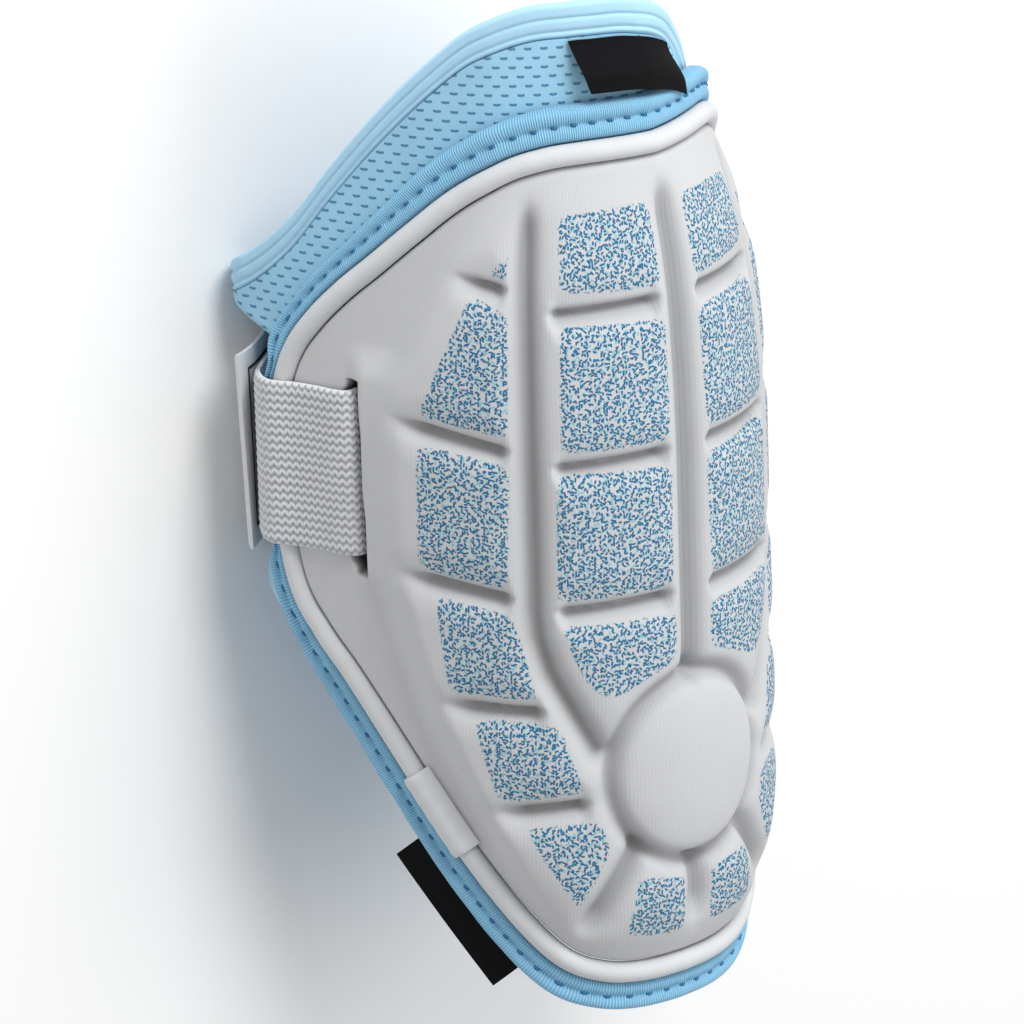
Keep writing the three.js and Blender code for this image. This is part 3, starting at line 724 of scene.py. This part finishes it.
def cutField(place, base, standing):
    nearest = np.full(base.shape, 1e9)
    cut = np.zeros(base.shape)
    lip = np.zeros(base.shape)
    for line, depth, startFade, endFade, crease in valleyLines():
        gap, run, below, length = lineDistance(place, line)
        fade = depth * easeIn(run, startFade) * easeIn(length - run, endFade)
        width = shell["valleyWidth"]
        if crease:
            lean = smoothStep(-0.4, 0.4, below)
            width = shell["creaseAbove"] + (shell["creaseBelow"] - shell["creaseAbove"]) * lean
        cut = np.maximum(cut, fade * bell(gap, width))
        lip = np.maximum(lip, fade * bell(gap, shell["lipWidth"]))
        nearest = np.minimum(nearest, gap + (1 - fade) * 4)
    face = base - standing * (shell["valleyDepth"] * cut + shell["lipDepth"] * lip)
    face += standing * shell["podBulge"] * (smoothStep(0, shell["bulgeReach"], nearest) - 0.6)
    return face, cut


def shellFace(across, along):
    place = flatPlace(across, along)
    base = faceRise(across, along)
    standing = smoothStep(0.6, 4.5, base)
    raised = smoothStep(0, 3, base)
    face, cut = cutField(place, base, standing)
    fromBoss = np.linalg.norm(place - flatPlace(np.array(0.0), guard["bossAlong"]), axis=-1)
    dome = np.clip(1 - (fromBoss / (shell["bossRadius"] + 0.8)) ** 2, 0, 1)
    top = guard["podRise"] - 1.2 + (guard["bossRise"] + 1.0) * dome**0.5
    onBoss = 1 - smoothStep(shell["bossRadius"] - 0.2, shell["bossRadius"] + 1.6, fromBoss)
    face = face * (1 - onBoss) + top * onBoss
    offRing = fromBoss - shell["ringRadius"]
    ring = bell(offRing, shell["ringWidth"])
    face -= shell["ringDepth"] * ring * raised
    face -= shell["shoulderDepth"] * bell(offRing, shell["ringShoulder"]) * (1 - onBoss) * raised
    offStrap = np.abs(along - guard["strapAlong"]) - shell["slotLength"] / 2
    window = 1 - smoothStep(0, shell["lipFade"], offStrap)
    step = 1 - smoothStep(-shell["slotOuter"], shell["slotOuter"], np.abs(across) - shell["slotAcross"])
    face += shell["lipRise"] * window * step * pastField(across, along)
    pit = slotPit(across, along)
    face = face * (1 - pit) + (-guard["flange"] + 0.05) * pit
    toRim = np.minimum(along - padTop(across), padBottom(across) - along)
    toRim = np.minimum(toRim, guard["padHalfWidth"] - np.abs(across))
    face -= shell["edgeRound"] * edgeFall(toRim, shell["edgeReach"])
    # painted shade: darkens the colour in the valleys and in the ring groove round the boss
    shade = np.maximum(standing * cut, 0.9 * ring * raised)
    return face, shade


def speckledKnit(w, place, look):
    inside = w.attribute("patch").outputs["Fac"]
    given = {"Place": place, "Cell": speckleLook["cell"]}
    given.update({"Half length": speckleLook["halfLength"], "Half width": speckleLook["halfWidth"]})
    first = w.group(dashes, given)
    second = w.group(dashes, {**given, "Place": w.vector("ADD", place, (71.7, 23.1, 0.0))})
    dark = w.math("MAXIMUM", first, second)
    light = w.group(dashes, {**given, "Place": w.vector("ADD", place, (37.3, 11.9, 0.0))})
    ragged = w.math("ADD", inside, w.math("MULTIPLY_ADD", w.noise(place, 1.1), 1.6, -0.8))
    within = w.ramp(ragged, -0.25, 0.25)
    base = w.group(mottle, {"Place": place, "Colour": look["colour"], "Scale": 0.08, "Amount": 0.035})
    cyan = w.blend(w.math("MULTIPLY", w.math("MULTIPLY", light, within), 0.75), base, speckleLook["light"])
    printed = w.blend(w.math("MULTIPLY", w.math("MULTIPLY", dark, within), 0.95), cyan, speckleLook["dark"])
    # painted shade in the valleys and the ring groove, up to about a third darker
    shaded = w.scaled(printed, w.math("MULTIPLY_ADD", w.attribute("shade").outputs["Fac"], -0.36, 1.0))
    # painted shade: the slot's pit is coloured near black, standing in for the shadow down the open slit
    colour = w.blend(w.attribute("slot").outputs["Fac"], shaded, nearBlack)
    knit = w.group(ribs, {"Value": w.parts(place)[0], "Pitch": 0.85})
    grain = w.group(weave, {"Place": place, "Pitch": 0.55})
    height = w.math("MULTIPLY_ADD", knit, 0.27, w.math("MULTIPLY", grain, 0.5))
    return colour, height


def columnsAcross(count):
    even = np.linspace(-1, 1, count + 1)
    return guard["padHalfWidth"] * (even * 0.8 + np.sin(even * math.pi / 2) * 0.2)  # closer at the sides


def makeShell():
    across = columnsAcross(shell["columns"])
    down = np.linspace(0, 1, shell["rows"] + 1)
    down = down - 0.06 * np.sin(down * 2 * math.pi) / (2 * math.pi)
    top, bottom = padTop(across)[:, None], padBottom(across)[:, None]
    along = top + (bottom - top) * down[None]
    wide = np.broadcast_to(across[:, None], along.shape)
    face, shade = shellFace(wide, along)
    outer = padPoint(wide, along, face)
    back = top + (bottom - top) * np.linspace(0, 1, shell["innerRows"])[None]
    wideBack = np.broadcast_to(across[:, None], back.shape)
    inner = padPoint(wideBack, back, -guard["flange"])
    # slot marks where the slot's pit gets its painted shade; shade marks the painted shade of the valleys
    # and ring groove
    masks = {"patch": patchDepth(wide, along), "slot": slotPit(wide, along), "shade": shade}
    piece = wall("shell_pad", outer, inner, False, flatPlace(wide, along), flatPlace(wideBack, back), masks)
    dress(piece, clothMaterial("speckled knit", shellLook, speckledKnit), ["shell"])


makeShell()


# Rim bead, its flat wrap and the binding tape

print("rim")
rim = {
    "gap": 0.35,
    "beadRadius": 2.55,
    "beadDrop": 1.0,
    "steps": 560,
    "wrapAlong": 158.5,
    "wrapLength": 22.0,
    "wrapWall": 0.9,
    "wrapLift": (0.3, 0.12),
    "wrapFlap": -1.5,
    "flapRise": (0.85, 0.2),
    "tapeStart": 5.75,
    "tapeBack": 1.5,
    "tapeLow": -4.6,
    "tapeHigh": -0.8,
    "tapeSide": 4.95,
    "tapeLower": 7.2,
    "tapeTop": 8.3,
    "pinch": 2.0,
    "pinchFade": 5.0,
    "stitchPitch": 4.7,
}
beadLook = {
    "colour": (0.60, 0.61, 0.625, 1), "roughness": 0.85, "specular": 0.15, "sheen": 0.05,
    "bump": 0.25, "relief": 0.12,
}
tapeLook = {
    "colour": (0.30, 0.59, 0.78, 1), "roughness": 0.9, "specular": 0.15, "sheen": 0.05,
    "bump": 0.8, "relief": 0.24,
}
stitchLook = {"colour": (0.03, 0.15, 0.32, 1), "roughness": 0.8, "bump": 0.2, "relief": 0.1}
rimLoop = rimPath(rim["steps"])
underStrap = np.array([guard["padHalfWidth"], guard["strapAlong"]])
rimLine = np.roll(rimLoop, -int(np.argmin(np.linalg.norm(rimLoop - underStrap, axis=1))), axis=0)
rimSides = pathSides(rimLine, True)
rimRun = runAlong(rimLine)


def plainWeave(w, place, look):
    colour = w.group(mottle, {"Place": place, "Colour": look["colour"], "Scale": 0.15, "Amount": 0.04})
    return colour, w.group(weave, {"Place": place, "Pitch": look.get("pitch", 0.5)})


def ribbedTape(w, place, look):
    run, wide, _ = w.parts(place)
    rib = w.group(ribs, {"Value": run, "Pitch": 0.58})
    colour = w.group(mottle, {"Place": place, "Colour": look["colour"], "Scale": 0.2, "Amount": 0.08})
    # painted shade: the grooves between the ribs are blended towards a dark blue
    shaded = w.blend(w.math("MULTIPLY", w.math("SUBTRACT", 1.0, rib), 0.55), colour, (0.06, 0.25, 0.50, 1))
    return shaded, rib


def makeBead():
    angle = np.linspace(0, 2 * math.pi, 22, endpoint=False)
    centre = rim["gap"] + rim["beadRadius"]
    outward = (centre + rim["beadRadius"] * np.cos(angle))[None]
    proud = (-rim["beadDrop"] + rim["beadRadius"] * np.sin(angle))[None]
    ripple = 0.06 * softNoise(rimLine, 9, 4)[:, None]
    points = alongRim(rimLine, rimSides, outward, proud + ripple)
    flat = paired(rimRun[:, None], angle[None] * rim["beadRadius"])
    piece = skin("bead_roll", points, True, flat)
    dress(piece, clothMaterial("bead cloth", beadLook, plainWeave), ["rim_bead"])


def makeWrap():
    left = np.flatnonzero((rimLine[:, 0] < 0) & (np.abs(rimLine[:, 1] - rim["wrapAlong"]) < 30))
    middle = left[np.argmin(np.abs(rimLine[left, 1] - rim["wrapAlong"]))]
    near = left[np.linalg.norm(rimLine[left] - rimLine[middle], axis=1) < rim["wrapLength"] / 2]
    path = evenlyAlong(rimLine[near], 40)
    sides = pathSides(path, False)
    angle = np.linspace(0.2 * math.pi, 0.6 * math.pi, 12)
    flap = np.linspace(0, 1, 9)[None, 1:]
    centre = rim["gap"] + rim["beadRadius"]
    run = np.linspace(0, rim["wrapLength"], 41)[:, None]
    rounded = 0.25 * np.clip(1 - np.minimum(run, rim["wrapLength"] - run) / 0.8, 0, 1)
    lift, seat = rim["wrapLift"]
    outerRadius = rim["beadRadius"] + lift + rim["wrapWall"] - rounded + 0.05 * np.sin(run * 1.3)
    innerRadius = np.full_like(outerRadius, rim["beadRadius"] + seat)
    layers = []
    for radius, flapRise in zip((outerRadius, innerRadius), rim["flapRise"]):
        outward = centre + radius * np.cos(angle)
        proud = radius * np.sin(angle) - rim["beadDrop"]
        outward = np.hstack([outward, outward[:, -1:] + (rim["wrapFlap"] - outward[:, -1:]) * flap])
        proud = np.hstack([proud, proud[:, -1:] + (flapRise - proud[:, -1:]) * flap])
        layers.append(alongRim(path, sides, outward, proud))
    flat = paired(run, np.linspace(0, 8, outward.shape[1])[None])
    piece = wall("bead_wrap", layers[0], layers[1], False, flat, flat)
    dress(piece, clothMaterial("wrap cloth", beadLook, plainWeave), ["rim_sleeve"])


def tapeWidth(along):
    topness = 1 - smoothStep(0, guard["padLength"] * 0.25, along)
    lowness = smoothStep(guard["padLength"] * 0.5, guard["padLength"] * 0.65, along)
    side = rim["tapeSide"] + (rim["tapeLower"] - rim["tapeSide"]) * lowness
    pinch = rim["pinch"] * (1 - smoothStep(0, rim["pinchFade"], np.abs(along - guard["strapAlong"]) - 20))
    return side + (rim["tapeTop"] - side) * topness - pinch


def tapeFace(share, run):
    ridges = 0.75 * np.abs(np.sin(share * 2 * math.pi)) ** 0.7
    pulled = 0.5 + 0.5 * np.cos(2 * math.pi * run / rim["stitchPitch"])
    valley = bell(share - 0.5, 0.13)
    edges = edgeFall(np.minimum(share, 1 - share), 0.16)
    return rim["tapeHigh"] - 0.35 + ridges - 0.55 * valley * pulled - 1.0 * edges


def makeTape():
    start = rim["tapeStart"] - 0.2
    share = np.linspace(0, 1, 26)[None]
    run = rimRun[:, None]
    width = tapeWidth(rimLine[:, 1])[:, None]
    wander = 0.18 * softNoise(rimLine, 14, 8)[:, None] * share
    outer = alongRim(rimLine, rimSides, start + width * share + wander, tapeFace(share, run))
    backShare = np.linspace(0, 1, 6)[None]
    backProud = rim["tapeLow"] + 0.5 * backShare**6
    backStart = rim["gap"] + rim["tapeBack"]
    backward = backStart + (start - backStart + width) * backShare
    inner = alongRim(rimLine, rimSides, backward, backProud)
    flats = [paired(run, width * s) for s in (share, backShare)]
    piece = wall("binding_roll", outer, inner, True, flats[0], flats[1])
    dress(piece, clothMaterial("ribbed tape", tapeLook, ribbedTape), ["edge_binding"])
    makeStitches(start)


def makeStitches(start):
    total = rimRun[-1] + np.linalg.norm(rimLine[0] - rimLine[-1])
    count = round(total / rim["stitchPitch"])
    size = {"halfLength": 0.95, "radius": 0.42}
    points, faces = [], []
    for n in range(count):
        middle = (n + 0.5) * total / count
        ring = []
        for step in (-1.0, -0.5, 0.5, 1.0):
            run = (middle + step * size["halfLength"]) % total
            at = run / total * rim["steps"]
            low = int(at) % rim["steps"]
            place = rimLine[low] + (at - int(at)) * (rimLine[(low + 1) % rim["steps"]] - rimLine[low])
            side = rimSides[low]
            outward = start + tapeWidth(place[1]) * 0.5
            proud = float(tapeFace(0.5, run)) + size["radius"] * (0.6 if abs(step) < 1 else -0.8)
            for corner in range(6):
                turn = corner / 6 * 2 * math.pi
                a = outward + size["radius"] * math.cos(turn)
                p = proud + size["radius"] * math.sin(turn)
                ring.append(padPoint(place[0] + a * side[0], place[1] + a * side[1], p))
        first = len(points)
        points.extend(ring)
        for here in (first, first + 6, first + 12):
            for k in range(6):
                after = (k + 1) % 6
                faces.append([here + k, here + after, here + 6 + after, here + 6 + k])
        faces.append([first + k for k in range(6)][::-1])
        faces.append([first + 18 + k for k in range(6)])
    piece = buildMesh("binding_stitches", np.array(points), faces, np.zeros((len(points), 2)))
    dress(piece, clothMaterial("stitch thread", stitchLook, plainWeave))


makeBead()
makeWrap()
makeTape()


# Lining

print("lining")
lining = {"outer": -3.1, "thickness": 1.5, "columns": 120, "rows": 90}
liningLook = {
    "colour": (0.16, 0.42, 0.66, 1), "roughness": 0.95, "sheen": 0.4,
    "bump": 0.5, "relief": 0.2, "pitch": 0.9,
}


def makeLining():
    across = columnsAcross(lining["columns"])
    top, bottom = padTop(across)[:, None], padBottom(across)[:, None]
    layers, flats = [], []
    for proud, rows in ((lining["outer"], 16), (lining["outer"] - lining["thickness"], lining["rows"])):
        along = top + (bottom - top) * np.linspace(0, 1, rows + 1)[None]
        wide = np.broadcast_to(across[:, None], along.shape)
        layers.append(padPoint(wide, along, proud))
        flats.append(flatPlace(wide, along))
    piece = wall("pad_lining", layers[0], layers[1], False, flats[0], flats[1])
    dress(piece, clothMaterial("brushed lining", liningLook, plainWeave), ["liner"])


makeLining()


# Sleeve and its two hems

print("sleeve")
sleeve = {
    "around": 300,
    "rows": 110,
    "innerRows": 40,
    "wall": 1.4,
    "wrinkle": 0.22,
    "hemWidth": 8.4,
    "hemThickness": 2.4,
}
slitShape = {"Pitch": 3.9, "Row pitch": 2.2, "Half length": 0.62, "Half width": 0.44}
meshLook = {"colour": (0.31, 0.57, 0.74, 1), "roughness": 0.85, "sheen": 0.1, "bump": 0.6, "relief": 0.3}
hemLook = {
    "colour": (0.40, 0.65, 0.82, 1), "roughness": 0.85, "specular": 0.15, "sheen": 0.1,
    "bump": 0.6, "relief": 0.22, "pitch": 0.6,
}


def belowUpperHem(share):
    return mouthTop(share) + sleeve["hemWidth"]


def aboveLowerHem(share):
    return mouthBottom(share) - sleeve["hemWidth"]


def slitMesh(w, place, look):
    base = w.group(mottle, {"Place": place, "Colour": look["colour"], "Scale": 0.12, "Amount": 0.06})
    hole = w.group(slits, {"Place": place, **slitShape})
    # painted shade: the slits are only bumped, not cut through, and are blended towards a dark blue for the
    # shadow inside the holes
    colour = w.blend(w.math("MULTIPLY", hole, 0.85), base, (0.03, 0.17, 0.34, 1))
    grain = w.group(weave, {"Place": place, "Pitch": 0.6})
    height = w.math("SUBTRACT", w.math("MULTIPLY", grain, 0.35), hole)
    return colour, height


def sleeveWall(name, rows, innerRows, start, end, outerProud, innerProud):
    share = np.linspace(0, 1, sleeve["around"], endpoint=False)[:, None]
    layers, flats = [], []
    for proud, count in ((outerProud, rows), (innerProud, innerRows)):
        down = np.linspace(0, 1, count + 1)[None]
        along = start(share) + (end(share) - start(share)) * down
        wide = np.broadcast_to(share, along.shape)
        around = np.where(wide < 0.5, wide, wide - 1) * 2 * halfRound(guard["strapAlong"])
        flat = np.stack([around, along], axis=-1)
        layers.append(sleevePoint(wide, along, proud(wide, down, flat)))
        flats.append(flat)
    return wall(name, layers[0], layers[1], True, flats[0], flats[1])


def makeSleeve():
    def outer(share, down, flat):
        ripple = sleeve["wrinkle"] * softNoise(flat, 26, 12)
        return np.minimum(ripple - 0.1, 0.05)

    def inner(share, down, flat):
        return np.full(flat.shape[:-1], -sleeve["wall"])

    rows, innerRows = sleeve["rows"], sleeve["innerRows"]
    piece = sleeveWall("mesh_sleeve", rows, innerRows, belowUpperHem, aboveLowerHem, outer, inner)
    dress(piece, clothMaterial("slit mesh", meshLook, slitMesh), ["sleeve"])


def makeHem(name, node, start, end, seams):
    def outer(share, down, flat):
        fold = 0.3 * np.sin(down * math.pi) - 0.2
        crease = sum(-0.5 * bell(down - at, 0.05) for at in seams)
        edge = -1.1 * edgeFall(np.minimum(down, 1 - down), 0.12)
        return fold + crease + edge + 0.1 * softNoise(flat, 18, 21)

    def inner(share, down, flat):
        return -sleeve["hemThickness"] + 0.6 * edgeFall(np.minimum(down, 1 - down), 0.2) + 0 * share

    piece = sleeveWall(name, 24, 8, start, end, outer, inner)
    dress(piece, clothMaterial(name + " cloth", hemLook, plainWeave), [node])
    return piece


def makeHems():
    upper = makeHem("upper_hem", "top_band", mouthTop, belowUpperHem, (0.42, 0.78))
    lower = makeHem("lower_hem", "lower_band", aboveLowerHem, mouthBottom, (0.22, 0.58))


makeSleeve()
makeHems()


# Strap and tab

print("strap")
strap = {
    "width": 40.0,
    "thickness": 1.6,
    "ribPitch": 2.0,
    "wavePitch": 1.8,
    "waveSide": 0.42,
    "ribHeight": 0.5,
    "ribBase": 0.55,
    "slotWidth": 6.0,
    "clearance": 0.3,
    "bendRise": 0.5,
    "tabThickness": 1.6,
    "tabGap": 0.6,
    "tabBackReach": 22.0,
    "tabStandLength": 12.0,
    "tabStandOff": (1.8, 0.0),
    "borderInset": 4.6,
    "borderEdge": (0.3, 0.6),
    "steps": 760,
    "cords": 96,
}
strapLook = {
    "colour": (0.72, 0.73, 0.75, 1), "roughness": 0.9, "specular": 0.15, "sheen": 0.05,
    "bump": 0.4, "relief": 0.15, "pitch": 0.45,
}
tabLook = {
    "colour": (0.62, 0.63, 0.65, 1), "roughness": 0.85, "specular": 0.2, "sheen": 0.05,
    "bump": 0.25, "relief": 0.12, "pitch": 0.5,
}
ground = -(guard["sleeveDepth"] + guard["backLift"])


def strapSide(side, lift, shift):
    across = shell["slotAcross"] + shift
    onFlange = strap["thickness"] / 2 + strap["clearance"]
    overRim = rim["beadRadius"] - rim["beadDrop"] + onFlange + strap["clearance"] / 2
    overBead = (rim["beadRadius"] + onFlange + strap["clearance"]) * math.sqrt(0.5)
    width, half = strap["slotWidth"], guard["padHalfWidth"]
    bead = half + rim["gap"] + rim["beadRadius"]
    pinched = half + rim["tapeStart"] + rim["tapeSide"] - rim["pinch"]
    stops = [
        (across, -guard["flange"] + strap["clearance"]),
        (across, -guard["flange"] / 4),
        (across + width * 0.2, onFlange),
        (across + width * 0.65, onFlange + strap["bendRise"]),
        (across + width * 1.6, onFlange),
        (half - rim["beadRadius"] * 1.4, onFlange + 0.2),
        (half + rim["beadRadius"], overRim),
        (bead + overBead, overBead - rim["beadDrop"]),
        (pinched - 1, rim["tapeHigh"] + onFlange),
        (pinched + onFlange * 0.8, rim["tapeHigh"] - onFlange * 0.75),
    ]  # across, proud
    points = []
    for a, proud in stops:
        x, _, z = padPoint(side * a, guard["strapAlong"], proud)
        points.append((x, z))
    centreX = float(sleeveSection(np.asarray(guard["strapAlong"]))[0][3])
    centreZ = guard["backCorner"] - guard["sleeveDepth"]
    radius = centreZ - (ground + strap["thickness"] / 2 + lift)
    for angle in np.radians([52, 64, 77, 90]):
        points.append((side * (centreX + radius * math.cos(angle)), centreZ - radius * math.sin(angle)))
    return points


def strapLine(shift, count):
    lift = strap["tabThickness"] + strap["tabGap"]
    low = ground + strap["thickness"] / 2
    end = -strap["tabBackReach"]
    back = [(end, low + lift), (end + 5, low + lift), *((end + n * 5, low) for n in (3, 4, 5, 8))]
    points = [*strapSide(-1, lift, shift), *back, *strapSide(1, 0, shift)[::-1]]
    return smoothLine(points, count)


def bandGrid(upper, lower, width, offset):
    down = np.linspace(0, 1, offset.shape[1])[None, :, None]
    line = upper[:, None] * (1 - down) + lower[:, None] * down
    normals = pathSides(upper, False)[:, None]  # away from the arm
    spread = line + normals * offset[..., None]
    along = guard["strapAlong"] + width * (down[..., 0] - 0.5)
    y = -np.broadcast_to(along, spread.shape[:2])
    return np.stack([spread[..., 0], y, spread[..., 1]], axis=-1)


def lineFlat(line, width, cords):
    return paired(runAlong(line)[:, None], np.linspace(0, width, cords + 1)[None])


def ribbedElastic(w, place, look):
    colour, height = plainWeave(w, place, look)
    grooveShade = w.attribute("grooveShade").outputs["Fac"]
    # painted shade: the elastic's colour is darkened by up to a half in the grooves between the ribs
    return w.scaled(colour, w.math("MULTIPLY_ADD", grooveShade, -0.5, 1.0)), height


def makeStrap():
    shift = shell["slotLean"] * strap["width"] / shell["slotLength"] / 2
    upper, lower = strapLine(shift, strap["steps"]), strapLine(-shift, strap["steps"])
    flat = lineFlat(upper, strap["width"], strap["cords"])
    run, side = flat[..., 0], flat[..., 1]
    wavy = side + strap["waveSide"] * np.sin(2 * math.pi * run / strap["wavePitch"])
    rib = 0.5 + 0.5 * np.cos(2 * math.pi * wavy / strap["ribPitch"])
    knots = 0.12 * np.cos(4 * math.pi * run / strap["wavePitch"])
    edge = edgeFall(np.minimum(side, strap["width"] - side), 1.0)
    face = strap["thickness"] / 2 - strap["ribBase"] + strap["ribHeight"] * (rib**0.8 + knots) - 0.7 * edge
    outer = bandGrid(upper, lower, strap["width"], face)
    innerFlat = flat[:, ::4]  # the back is plain, so a quarter of the columns will do
    inner = bandGrid(upper, lower, strap["width"], np.full(innerFlat.shape[:2], -strap["thickness"] / 2))
    # painted shade for the grooves between the ribs, read by the material
    grooveShade = np.clip(1 - rib**0.8 - knots, 0, 1)
    piece = wall("elastic_strap", outer, inner, False, flat, innerFlat, {"grooveShade": grooveShade})
    dress(piece, clothMaterial("ribbed elastic", strapLook, ribbedElastic), ["strap"])


def borderedTab(w, place, look):
    base = w.group(mottle, {"Place": place, "Colour": look["colour"], "Scale": 0.1, "Amount": 0.04})
    run, side, _ = w.parts(place)
    fromSide = w.math("MINIMUM", side, w.math("SUBTRACT", guard["tabWidth"], side))
    inset = w.math("MINIMUM", fromSide, run)
    offLine = w.math("ABSOLUTE", w.math("SUBTRACT", inset, strap["borderInset"]))
    line = w.math("SUBTRACT", 1.0, w.ramp(offLine, *strap["borderEdge"]))
    return w.blend(line, base, nearBlack), w.group(weave, {"Place": place, "Pitch": look["pitch"]})


def makeTab():
    line = strapLine(0, 112)
    apart = (strap["thickness"] + strap["tabThickness"]) / 2 + strap["tabGap"]
    half = guard["padHalfWidth"] + 2 * rim["beadRadius"] + rim["tapeSide"]
    rimDepth = padPoint(half, guard["strapAlong"], 0)[2]
    first = int(np.argmax((line[:, 0] < 0) & (line[:, 1] < rimDepth - strap["tabStandLength"] / 2)))
    last = int(np.argmax((line[:, 1] < ground + guard["backLift"]) & (line[:, 0] > -strap["tabBackReach"])))
    close = (line + pathSides(line, False) * apart)[first:last]
    heading = (close[0] - close[3]) / np.linalg.norm(close[0] - close[3])
    away = np.array([heading[1], -heading[0]]) * (1 if heading[0] > 0 else -1)
    rise = np.array([1, 0.8, 0.6, 0.4, 0.2])[:, None]
    straight = close[0] + heading * strap["tabStandLength"] * rise
    edges = []
    for off in strap["tabStandOff"]:
        edge = np.vstack([straight + away * off * rise**2, close])
        edges.append(evenlyAlong(edge, 90))
    flat = lineFlat(edges[0], guard["tabWidth"], 60)
    inset = np.minimum(np.minimum(flat[..., 1], guard["tabWidth"] - flat[..., 1]), flat[..., 0])
    pillow = strap["tabThickness"] / 2 - 0.7 * edgeFall(inset, 1.2)
    outer = bandGrid(*edges, guard["tabWidth"], pillow)
    inner = bandGrid(*edges, guard["tabWidth"], np.full(pillow.shape, -strap["tabThickness"] / 2))
    piece = wall("strap_tab", outer, inner, False, flat, flat)
    dress(piece, clothMaterial("bordered tab", tabLook, borderedTab), ["hook_tab"])


makeStrap()
makeTab()


# Labels

print("labels")
labels = {
    "thickness": 0.6,
    "gap": 0.3,
    "topLength": 31.0,
    "topWidth": 11.6,
    "topRound": -3.5,
    "topSlant": 4.0,
    "topCurl": 0.6,
    "sideLength": 41.0,
    "sideWidth": 13.5,
    "sideOut": 9.0,
    "sidePlace": 0.89,
}
labelLook = {
    "colour": (0.005, 0.005, 0.006, 1), "roughness": 0.9, "specular": 0.12,
    "bump": 0.3, "relief": 0.12, "pitch": 0.5,
}


def makeTopLabel(material):
    whole = 2 * halfRound(-mouth["tongueRise"])
    u = np.linspace(0, 1, 40)[:, None]
    v = np.linspace(0, 1, 22)[None]
    slant = labels["topSlant"] * (1 - u) * v
    share = 1 + (labels["topRound"] + labels["topLength"] * (u - 0.5) + slant) / whole
    standOff = guard["sleeveInset"] + rim["tapeHigh"]
    curl = labels["topCurl"] * smoothStep(0.75, 1, u) * smoothStep(0.5, 1, v)
    proud = labels["gap"] + standOff * smoothStep(0, 0.75, v) + curl
    along = belowUpperHem(share) + labels["gap"] + labels["topWidth"] * v
    flat = paired(u * labels["topLength"], v * labels["topWidth"])
    outer = sleevePoint(share, along, proud + labels["thickness"])
    piece = wall("upper_label", outer, sleevePoint(share, along, proud), False, flat, flat)
    dress(piece, material, ["top_label"])


def makeSideLabel(material):
    lower = np.flatnonzero((rimLine[:, 0] < 0) & (rimLine[:, 1] > guard["padLength"] * 0.5))
    middle = lower[np.argmin(np.abs(rimLine[lower, 1] - guard["padLength"] * labels["sidePlace"]))]
    near = lower[np.linalg.norm(rimLine[lower] - rimLine[middle], axis=1) < labels["sideLength"] / 2]
    path = evenlyAlong(rimLine[near[[0, -1]]], 50)
    sides = pathSides(path, False)
    v = np.linspace(0, 1, 18)[None]
    outward = labels["sideOut"] + labels["sideWidth"] * v
    top = rim["tapeLow"] - labels["gap"] + 0 * v
    layers = [alongRim(path, sides, outward, top - drop) for drop in (0, labels["thickness"])]
    run = np.linspace(0, labels["sideLength"], 51)[:, None]
    flat = paired(run, labels["sideWidth"] * v)
    piece = wall("lower_label", layers[0], layers[1], False, flat, flat)
    dress(piece, material, ["side_label"])


labelCloth = clothMaterial("black label", labelLook, plainWeave)
makeTopLabel(labelCloth)
makeSideLabel(labelCloth)


# Floor and lights

print("stage")
lights = {
    "key": {"up": 0.6, "right": 0.35, "back": 0.7, "distance": 1.1, "size": 0.5, "energy": 9.0},
    "side": {"up": -0.1, "right": 0.9, "back": 0.3, "distance": 1.2, "size": 0.9, "energy": 5.0},
}
studio = {
    "paper": (0.86, 0.86, 0.86, 1),
    "paperRoughness": 0.9,
    "world": (1, 1, 1, 1),
    "worldStrength": 0.58,
}


def makeLight(name, direction, distance, size, energy):
    light = bpy.data.objects.new(name, bpy.data.lights.new(name, "AREA"))
    bpy.context.collection.objects.link(light)
    light.data.shape = "DISK"
    light.data.size = size
    light.data.energy = energy
    towards = Vector(direction).normalized()
    light.location = Vector((0, 0, 0.04)) + towards * distance
    light.rotation_mode = "QUATERNION"
    light.rotation_quaternion = towards.to_track_quat("Z", "Y")


def makeStage():
    bpy.ops.mesh.primitive_plane_add(size=12, location=(0, 0, 0))
    floor = bpy.context.object
    floor.name = "floor"
    paper = bpy.data.materials.new("paper")
    paper.use_nodes = True
    shader = paper.node_tree.nodes["Principled BSDF"]
    shader.inputs["Base Color"].default_value = studio["paper"]
    shader.inputs["Roughness"].default_value = studio["paperRoughness"]
    floor.data.materials.append(paper)
    world = bpy.data.worlds.new("studio")
    world.use_nodes = True
    background = world.node_tree.nodes["Background"]
    background.inputs["Color"].default_value = studio["world"]
    background.inputs["Strength"].default_value = studio["worldStrength"]
    bpy.context.scene.world = world
    right, up, back = shotAxes()
    for name, light in lights.items():
        direction = up * light["up"] + right * light["right"] + back * light["back"]
        makeLight(name, direction, light["distance"], light["size"], light["energy"])
    bpy.context.scene.view_settings.view_transform = "Standard"


makeStage()
